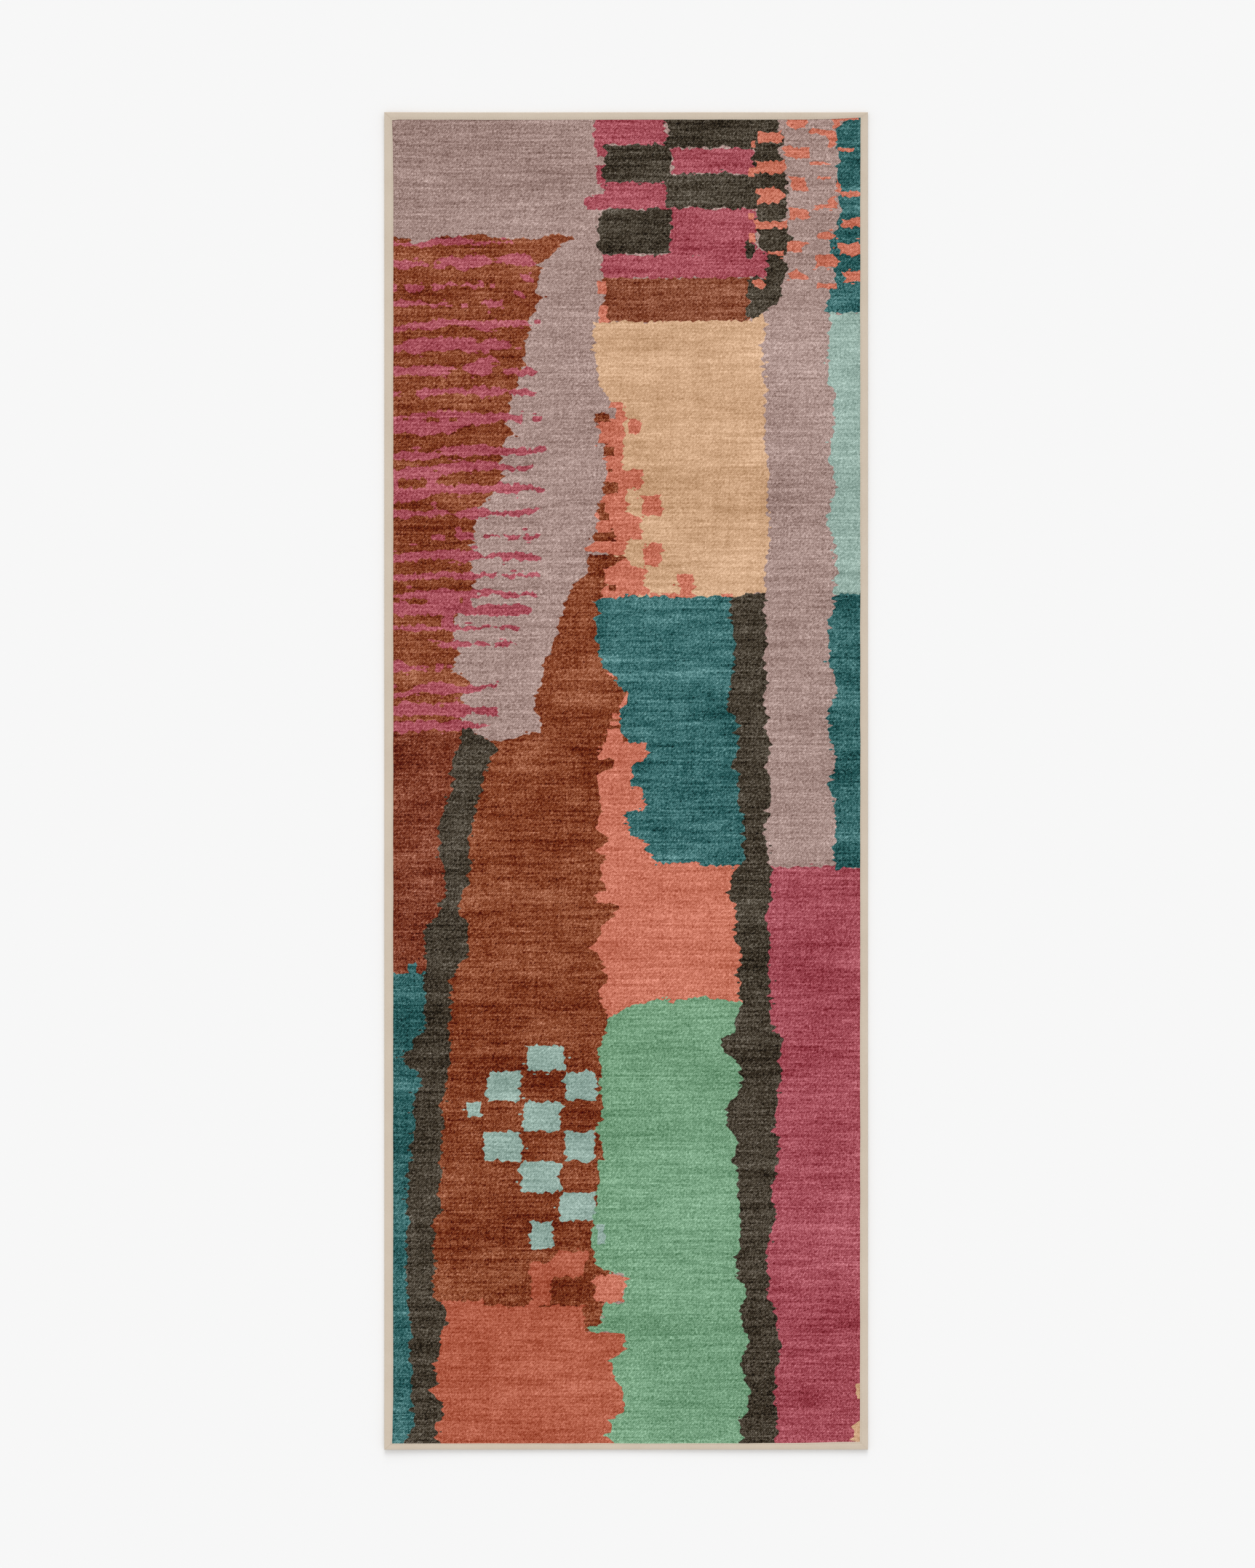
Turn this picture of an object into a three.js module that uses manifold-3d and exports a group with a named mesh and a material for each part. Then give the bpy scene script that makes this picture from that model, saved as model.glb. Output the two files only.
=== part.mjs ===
// Runner rug: a printed woven face over a felt cushion and a rubber grip backing, bound on all four
// sides with folded tape that is mitred at the corners and sewn through with a lockstitch.
// Millimetres, +Z up. +Y is the head of the print. The origin is on the floor, under the rug's middle.

import * as THREE from 'three';
import Module from 'manifold-3d';
import { mergeVertices } from 'three/addons/utils/BufferGeometryUtils.js';

// ---- driving dimensions ----

// Overall plan, measured over the binding.
const rugWidth = 762;
const rugLength = 2108;

// Thickness of each layer.
const faceThickness = 1.5;
const cushionThickness = 1.25;
const backingSheetThickness = 0.5;

// Binding tape: its own thickness, and how far it laps onto the rug on each side.
const tapeThickness = 0.75;
const sideLap = 12.5;
const headLap = 11.75;
const footLap = 10;
const foldOuterRadius = 1.25;
const foldInnerRadius = 0.5;

// Lockstitch thread: its flattened width and height, and how far the seam runs inside the tape's edge.
const threadWidth = 0.75;
const threadHeight = 0.25;
const seamInset = 2;

// The bobbin thread clears the floor by this much, because the grip field carries the rug.
const threadFloorClearance = 0.125;

// Clearances between neighbours that only touch face to face elsewhere.
const gripToTapeClearance = 0.5;
const mitreClearance = 0.25;
const threadEndClearance = 1;

// The tack stitch that closes each mitre, as shares of the mitre from the outer corner inwards.
const tackStart = 0.2;
const tackEnd = 0.72;

// ---- worked out from the above ----

const halfWidth = rugWidth / 2;
const halfLength = rugLength / 2;

// Levels, from the floor up.
const lowerTapeBottom = threadFloorClearance + threadHeight;
const backingSheetBottom = lowerTapeBottom + tapeThickness;
const cushionBottom = backingSheetBottom + backingSheetThickness;
const faceBottom = cushionBottom + cushionThickness;
const faceTop = faceBottom + faceThickness;
const upperTapeTop = faceTop + tapeThickness;

// The layers stop short of the inside of the tape's fold by the radius of that fold.
const layerInset = tapeThickness + foldInnerRadius;
const layerWidth = rugWidth - 2 * layerInset;
const layerLength = rugLength - 2 * layerInset;

// ---- materials ----

const materials = {
  face: new THREE.MeshStandardMaterial({ color: 0x9a5648, roughness: 0.95, metalness: 0 }),
  cushion: new THREE.MeshStandardMaterial({ color: 0xb9b4ab, roughness: 1, metalness: 0 }),
  backing: new THREE.MeshStandardMaterial({ color: 0x6f6a63, roughness: 0.7, metalness: 0 }),
  tape: new THREE.MeshStandardMaterial({ color: 0xcfc0ae, roughness: 0.9, metalness: 0 }),
  thread: new THREE.MeshStandardMaterial({ color: 0xc6b7a3, roughness: 0.7, metalness: 0 }),
};

function namedMesh(name, geometry, material) {
  const mesh = new THREE.Mesh(geometry, material);
  mesh.name = name;
  return mesh;
}

// ---- the three layers ----

// A flat sheet centred on the origin, lying between two levels.
function sheetGeometry(width, length, bottom, top) {
  const geometry = new THREE.BoxGeometry(width, length, top - bottom);
  geometry.translate(0, 0, (bottom + top) / 2);
  return geometry;
}

const wasm = await Module();
wasm.setup();

function toManifold(geometry) {
  const bare = geometry.clone();
  bare.deleteAttribute('normal');
  bare.deleteAttribute('uv');
  const merged = mergeVertices(bare);
  return new wasm.Manifold(new wasm.Mesh({
    numProp: 3,
    vertProperties: new Float32Array(merged.attributes.position.array),
    triVerts: new Uint32Array(merged.index.array),
  }));
}

function fromManifold(solid) {
  const { vertProperties, triVerts } = solid.getMesh();
  const geometry = new THREE.BufferGeometry();
  geometry.setAttribute('position', new THREE.BufferAttribute(vertProperties, 3));
  geometry.setIndex(new THREE.BufferAttribute(triVerts, 1));
  geometry.computeVertexNormals();
  return geometry;
}

// The backing is one moulded piece: a thin sheet that the binding holds all round, and a thicker
// grip field between the tape's lower laps that stands on the floor.
function backingGeometry() {
  const sheet = sheetGeometry(layerWidth, layerLength, backingSheetBottom, cushionBottom);
  const fieldWidth = rugWidth - 2 * (sideLap + gripToTapeClearance);
  const fieldLength = rugLength - headLap - footLap - 2 * gripToTapeClearance;
  const field = sheetGeometry(fieldWidth, fieldLength, 0, cushionBottom);
  field.translate(0, (footLap - headLap) / 2, 0);
  return fromManifold(toManifold(sheet).add(toManifold(field)));
}

const layers = new THREE.Group();
layers.add(
  namedMesh('face_cloth', sheetGeometry(layerWidth, layerLength, faceBottom, faceTop), materials.face),
  namedMesh('cushion_felt', sheetGeometry(layerWidth, layerLength, cushionBottom, faceBottom),
    materials.cushion),
  namedMesh('grip_backing', backingGeometry(), materials.backing),
);

// ---- the binding ----

// The four sides. Each is built as if it were the right-hand one and then turned about +Z into place.
// "next" is the side met at the end of the run, going anticlockwise, and "previous" the one at its start.
const sides = [
  { name: 'right', turn: 0, reach: halfWidth, halfRun: halfLength, lap: sideLap,
    previousLap: footLap, nextLap: headLap },
  { name: 'head', turn: Math.PI / 2, reach: halfLength, halfRun: halfWidth, lap: headLap,
    previousLap: sideLap, nextLap: sideLap },
  { name: 'left', turn: Math.PI, reach: halfWidth, halfRun: halfLength, lap: sideLap,
    previousLap: headLap, nextLap: footLap },
  { name: 'foot', turn: -Math.PI / 2, reach: halfLength, halfRun: halfWidth, lap: footLap,
    previousLap: sideLap, nextLap: sideLap },
];

// The tape's section: x is the distance in from the rug's edge, y the level. It is folded round the
// edge, open towards the rug.
function tapeSection(lap) {
  const inner = tapeThickness + foldInnerRadius;
  const lowerTop = lowerTapeBottom + tapeThickness;
  const section = new THREE.Shape();
  section.moveTo(foldOuterRadius, lowerTapeBottom);
  section.lineTo(lap, lowerTapeBottom);
  section.lineTo(lap, lowerTop);
  section.lineTo(inner, lowerTop);
  section.absarc(inner, lowerTop + foldInnerRadius, foldInnerRadius, -Math.PI / 2, -Math.PI, true);
  section.absarc(inner, faceTop - foldInnerRadius, foldInnerRadius, Math.PI, Math.PI / 2, true);
  section.lineTo(lap, faceTop);
  section.lineTo(lap, upperTapeTop);
  section.lineTo(foldOuterRadius, upperTapeTop);
  section.absarc(foldOuterRadius, upperTapeTop - foldOuterRadius, foldOuterRadius,
    Math.PI / 2, Math.PI, false);
  section.absarc(foldOuterRadius, lowerTapeBottom + foldOuterRadius, foldOuterRadius,
    Math.PI, Math.PI * 1.5, false);
  return section;
}

// The section swept along the side, with each end cut back along the mitre line, which runs from
// the outer corner to the corner where the two laps' inner edges meet.
function tapeGeometry(side) {
  const geometry = new THREE.ExtrudeGeometry(tapeSection(side.lap),
    { depth: 1, steps: 1, bevelEnabled: false, curveSegments: 5 });
  const position = geometry.attributes.position;
  for (let i = 0; i < position.count; i += 1) {
    const inward = position.getX(i);
    const level = position.getY(i);
    const atEnd = position.getZ(i) > 0.5;
    const otherLap = atEnd ? side.nextLap : side.previousLap;
    const run = side.halfRun - mitreClearance - inward * (otherLap / side.lap);
    position.setXYZ(i, side.reach - inward, atEnd ? run : -run, level);
  }
  geometry.computeVertexNormals();
  return geometry;
}

const binding = new THREE.Group();
for (const side of sides) {
  const tape = namedMesh(`binding_tape_${side.name}`, tapeGeometry(side), materials.tape);
  tape.rotation.z = side.turn;
  binding.add(tape);
}

// ---- the sewing ----

// A thread pressed flat against the tape: a low section, flat side down and centred on its seam line.
function threadGeometry(length) {
  const half = threadWidth / 2;
  const section = new THREE.Shape();
  section.moveTo(-half, 0);
  section.lineTo(half, 0);
  section.lineTo(half, threadHeight / 2);
  section.lineTo(half / 2, threadHeight);
  section.lineTo(-half / 2, threadHeight);
  section.lineTo(-half, threadHeight / 2);
  const geometry = new THREE.ExtrudeGeometry(section, { depth: length, steps: 1, bevelEnabled: false });
  geometry.rotateX(Math.PI / 2);
  geometry.translate(0, length / 2, 0);
  return geometry;
}

// The seam on a side runs between the seams of its neighbours and stops just short of both.
function seamThread(side) {
  const from = -(side.halfRun - side.previousLap + seamInset) + threadEndClearance;
  const to = side.halfRun - side.nextLap + seamInset - threadEndClearance;
  const geometry = threadGeometry(to - from);
  geometry.translate(side.reach - side.lap + seamInset, (from + to) / 2, 0);
  return geometry;
}

const sewing = new THREE.Group();
for (const side of sides) {
  const needle = namedMesh(`needle_thread_${side.name}`, seamThread(side), materials.thread);
  needle.position.z = upperTapeTop;
  needle.rotation.z = side.turn;
  const bobbin = namedMesh(`bobbin_thread_${side.name}`, seamThread(side), materials.thread);
  bobbin.position.z = threadFloorClearance;
  bobbin.rotation.z = side.turn;
  sewing.add(needle, bobbin);
}

// A tack stitch lies across each mitre, from near the outer corner to near the seams' meeting point.
const corners = [
  { name: 'head_right', towardsX: 1, towardsY: 1, endLap: headLap },
  { name: 'head_left', towardsX: -1, towardsY: 1, endLap: headLap },
  { name: 'foot_left', towardsX: -1, towardsY: -1, endLap: footLap },
  { name: 'foot_right', towardsX: 1, towardsY: -1, endLap: footLap },
];
for (const corner of corners) {
  const alongX = -corner.towardsX * sideLap;
  const alongY = -corner.towardsY * corner.endLap;
  const middle = (tackStart + tackEnd) / 2;
  const length = Math.hypot(alongX, alongY) * (tackEnd - tackStart);
  const tack = namedMesh(`mitre_tack_${corner.name}`, threadGeometry(length), materials.thread);
  tack.position.set(
    corner.towardsX * halfWidth + alongX * middle,
    corner.towardsY * halfLength + alongY * middle,
    upperTapeTop,
  );
  tack.rotation.z = Math.atan2(alongY, alongX) - Math.PI / 2;
  sewing.add(tack);
}

const rug = new THREE.Group();
rug.add(layers, binding, sewing);

export default rug;
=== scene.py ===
import math
import random
import bpy
import numpy
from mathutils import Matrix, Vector, noise
from mathutils.geometry import delaunay_2d_cdt


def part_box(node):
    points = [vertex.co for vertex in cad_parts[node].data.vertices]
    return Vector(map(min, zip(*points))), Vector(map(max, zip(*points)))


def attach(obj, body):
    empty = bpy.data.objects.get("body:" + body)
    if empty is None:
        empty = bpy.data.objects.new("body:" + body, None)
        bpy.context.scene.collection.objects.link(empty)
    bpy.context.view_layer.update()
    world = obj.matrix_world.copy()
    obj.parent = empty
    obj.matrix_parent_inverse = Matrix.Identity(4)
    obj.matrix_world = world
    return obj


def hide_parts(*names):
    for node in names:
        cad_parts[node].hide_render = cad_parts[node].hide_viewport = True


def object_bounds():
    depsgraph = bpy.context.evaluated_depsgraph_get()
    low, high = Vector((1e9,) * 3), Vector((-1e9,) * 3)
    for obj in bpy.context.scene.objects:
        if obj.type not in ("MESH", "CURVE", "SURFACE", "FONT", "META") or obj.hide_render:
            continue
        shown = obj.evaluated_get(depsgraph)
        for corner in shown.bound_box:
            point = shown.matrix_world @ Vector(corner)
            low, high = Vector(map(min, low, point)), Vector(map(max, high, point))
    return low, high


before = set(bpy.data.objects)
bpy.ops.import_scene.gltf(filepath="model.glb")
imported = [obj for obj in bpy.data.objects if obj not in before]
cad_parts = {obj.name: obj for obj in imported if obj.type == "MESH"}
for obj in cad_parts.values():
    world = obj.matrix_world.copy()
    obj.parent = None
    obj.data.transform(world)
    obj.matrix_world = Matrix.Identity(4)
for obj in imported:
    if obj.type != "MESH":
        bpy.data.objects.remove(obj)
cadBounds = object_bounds()
scene = bpy.context.scene
mm = 0.001
print("frame loaded")

# The layers' levels and outlines, all read from the frame.
faceLow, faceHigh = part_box("face_cloth")
feltLow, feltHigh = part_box("cushion_felt")
gripLow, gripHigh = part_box("grip_backing")
rugHigh = Vector(cadBounds[1])
halfWidth = rugHigh.x
halfLength = rugHigh.y
faceTop = faceHigh[2]
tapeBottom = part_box("binding_tape_left")[0][2]
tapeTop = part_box("binding_tape_left")[1][2]
tapeThickness = tapeTop - faceTop
backingBottom = tapeBottom + tapeThickness


# Camera, light and floor.
viewSetup = {
    "lens": 85.0,
    "sensor": 36.0,
    "viewHeight": 2.4716,
    "aim": (0.0022, -0.0048),
}
lightSetup = {
    "skyLight": 0.80,
    "skySeen": 0.93,
    "keyStrength": 1.16,
    "keyHeight": 33.0,
    "keySoftness": 38.0,
    "floorTone": 0.93,
    "floorSize": 90.0,
}


def makeCamera():
    data = bpy.data.cameras.new("viewCamera")
    data.lens = viewSetup["lens"]
    data.sensor_width = viewSetup["sensor"]
    data.clip_end = 200.0
    camera = bpy.data.objects.new("viewCamera", data)
    distance = viewSetup["viewHeight"] * viewSetup["lens"] / viewSetup["sensor"]
    camera.location = (viewSetup["aim"][0], viewSetup["aim"][1], faceTop + distance)
    scene.collection.objects.link(camera)
    scene.camera = camera


def makeLight():
    # A soft key from beyond the head of the rug, low enough to lay a shadow along the foot.
    data = bpy.data.lights.new("keyLight", "SUN")
    data.energy = lightSetup["keyStrength"]
    data.angle = math.radians(lightSetup["keySoftness"])
    key = bpy.data.objects.new("keyLight", data)
    key.rotation_euler = (math.radians(lightSetup["keyHeight"] - 90), 0, 0)
    scene.collection.objects.link(key)
    # The sky lights the scene a little less than it shows, so that floor and sky meet in one tone.
    world = bpy.data.worlds.new("paleStudio")
    world.use_nodes = True
    nodes = world.node_tree.nodes
    links = world.node_tree.links
    nodes.clear()
    glow = nodes.new("ShaderNodeBackground")
    glow.inputs["Strength"].default_value = lightSetup["skyLight"]
    glow.inputs["Color"].default_value = (1, 1, 1, 1)
    seen = nodes.new("ShaderNodeBackground")
    seen.inputs["Strength"].default_value = lightSetup["skySeen"]
    seen.inputs["Color"].default_value = (1, 1, 1, 1)
    path = nodes.new("ShaderNodeLightPath")
    pick = nodes.new("ShaderNodeMixShader")
    output = nodes.new("ShaderNodeOutputWorld")
    links.new(path.outputs["Is Camera Ray"], pick.inputs[0])
    links.new(glow.outputs[0], pick.inputs[1])
    links.new(seen.outputs[0], pick.inputs[2])
    links.new(pick.outputs[0], output.inputs["Surface"])
    scene.world = world
    scene.view_settings.view_transform = "Standard"


# Shader expressions.
class Wire:
    # One output of a node, so that shader sums read as ordinary Python.
    def __init__(self, bench, socket):
        self.bench = bench
        self.socket = socket

    def sum(self, operation, first, second):
        return self.bench.add("ShaderNodeMath", {"operation": operation}, {0: first, 1: second})

    def __add__(self, other):
        return self.sum("ADD", self, other)

    def __radd__(self, other):
        return self.sum("ADD", other, self)

    def __sub__(self, other):
        return self.sum("SUBTRACT", self, other)

    def __rsub__(self, other):
        return self.sum("SUBTRACT", other, self)

    def __mul__(self, other):
        return self.sum("MULTIPLY", self, other)

    def __rmul__(self, other):
        return self.sum("MULTIPLY", other, self)


class Bench:
    # A material's node tree with one way to add any node: its type, its settings, then its sockets.
    def __init__(self, name):
        self.material = bpy.data.materials.new(name)
        self.material.use_nodes = True
        self.tree = self.material.node_tree
        self.tree.nodes.clear()
        self.place = self.add("ShaderNodeTexCoord", {}, {}, "Object")

    def add(self, kind, settings, sockets, output=0):
        node = self.tree.nodes.new(kind)
        for setting, value in settings.items():
            setattr(node, setting, value)
        for name, value in sockets.items():
            if isinstance(value, Wire):
                self.tree.links.new(value.socket, node.inputs[name])
            else:
                node.inputs[name].default_value = value
        return Wire(self, node.outputs[output]) if node.outputs else None

    def axis(self, name):
        return self.add("ShaderNodeSeparateXYZ", {}, {0: self.place}, name)

    def cloud(self, sizeX, sizeY, offset, detail=2.0, roughness=0.5, place=None):
        # Noise whose lumps measure about sizeX by sizeY metres, spread over 0 to 1.
        stretched = self.add(
            "ShaderNodeMapping", {},
            {0: place or self.place, "Location": (offset, offset * 0.37, 0),
             "Scale": (1 / sizeX, 1 / sizeY, 1 / min(sizeX, sizeY))})
        raw = self.add(
            "ShaderNodeTexNoise", {},
            {"Vector": stretched, "Scale": 1.0, "Detail": detail, "Roughness": roughness}, "Fac")
        return self.add("ShaderNodeMapRange", {}, {0: raw, 1: 0.28, 2: 0.72})

    def blend(self, share, first, second):
        return self.add("ShaderNodeMix", {"data_type": "RGBA"}, {0: share, 6: first, 7: second}, 2)

    def shift(self, colour, amount):
        # Lightens or darkens a colour by the same step on all three channels.
        step = self.add("ShaderNodeCombineXYZ", {}, {0: amount, 1: amount, 2: amount})
        return self.add("ShaderNodeVectorMath", {"operation": "ADD"}, {0: colour, 1: step})

    def wave(self, phase):
        return self.add("ShaderNodeMath", {"operation": "SINE"}, {0: phase})

    def bump(self, height, strength, distance):
        return self.add(
            "ShaderNodeBump", {}, {"Height": height, "Strength": strength, "Distance": distance})

    def finish(self, sockets):
        shader = self.add("ShaderNodeBsdfPrincipled", {}, sockets)
        self.add("ShaderNodeOutputMaterial", {}, {"Surface": shader})
        return self.material


def toned(hexTone):
    # A web colour as the three display values it is written in, from 0 to 1.
    return tuple(int(hexTone[i:i + 2], 16) / 255 for i in (0, 2, 4))


def toLinear(hexTone):
    return tuple(channel ** 2.2 for channel in toned(hexTone)) + (1.0,)


# How the rug lies.
liePlan = {
    "edgeRise": 0.9 * mm,
    "edgeReach": 0.16,
    "swell": 0.35 * mm,
    "cornerRise": 0.9 * mm,
    "cornerReach": 0.10,
}


def liftAt(x, y):
    # How far the whole rug stands off the floor at a place: a fraction of a millimetre in the
    # middle, and up to a few millimetres of lazy wave along the edges and at the corners.
    fromSide = max(0.0, 1 - (halfWidth - abs(x)) / liePlan["edgeReach"])
    fromEnd = max(0.0, 1 - (halfLength - abs(y)) / liePlan["edgeReach"])
    sideWave = 0.5 + 0.5 * math.sin(9.3 * y + 1.7 * math.copysign(1, x) + 0.8 * math.sin(4.1 * y))
    endWave = 0.5 + 0.5 * math.sin(11.7 * x + 0.9 * math.copysign(1, y))
    edge = fromSide ** 2 * sideWave + fromEnd ** 2 * endWave
    swell = max(0.0, noise.noise(Vector((2.6 * x, 2.6 * y, 3.1))))
    corner = math.hypot(halfWidth - abs(x), halfLength - abs(y)) / liePlan["cornerReach"]
    return (liePlan["edgeRise"] * edge + liePlan["swell"] * swell
            + liePlan["cornerRise"] * max(0.0, 1 - corner) ** 2)


def layOnFloor(mesh):
    for vertex in mesh.vertices:
        vertex.co.z += liftAt(vertex.co.x, vertex.co.y)


def addPiece(name, mesh, material, slotName, *nodes):
    piece = bpy.data.objects.new(name, mesh)
    scene.collection.objects.link(piece)
    mesh.materials.clear()
    mesh.materials.append(material)
    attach(piece, "root")
    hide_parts(*nodes)
    return piece


def closedMesh(name, points, faces, smooth=True):
    mesh = bpy.data.meshes.new(name)
    mesh.from_pydata(points, [], faces)
    mesh.validate()
    mesh.update()
    if smooth:
        mesh.shade_smooth()
    else:
        mesh.shade_flat()
    return mesh


# The printed face.
# Each dye's tone, how much its wear lightens or darkens it, and how much its single yarns and the painted
# shade of the weave between them lighten or darken it.
dyes = {
    "mauve": ("a48a83", 0.046, 0.067),
    "rust": ("7e3e23", 0.112, 0.086),
    "oldRust": ("80452e", 0.098, 0.083),
    "deepRust": ("73341f", 0.116, 0.088),
    "raspberry": ("a14d57", 0.062, 0.071),
    "charcoal": ("41392e", 0.070, 0.083),
    "coral": ("c6725d", 0.036, 0.063),
    "peach": ("cea582", 0.070, 0.048),
    "teal": ("356363", 0.115, 0.080),
    "aqua": ("93aca2", 0.060, 0.056),
    "mint": ("729b7a", 0.038, 0.064),
    "terracotta": ("ac5943", 0.060, 0.058),
}

# How a weft-faced cloth frays a colour change: teeth up its sides, gentler waves along its rows.
frayPlan = {
    "toothPitch": 4.0,
    "tooth": 2.6,
    "spike": 5.0,
    "sideDrift": 2.2,
    "sideDriftLength": 12.0,
    "feather": 6.0,
    "featherShare": 0.04,
    "wavePitch": 4.0,
    "wave": 1.7,
    "notch": 2.6,
    "rowDrift": 1.8,
    "rowDriftLength": 13.0,
    "calmUnder": 42.0,
    "jitter": 0.25,
    "sideOnRow": 0.25,
    "fleckShare": 0.022,
    "fleckReach": (3, 7),
    "fleckLength": (1.8, 4.2),
    "fleckHeight": (1.8, 3.2),
    "strayLength": (3, 8),
    "strayHeight": (3.0, 6.5),
    "seed": 41,
}

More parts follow.
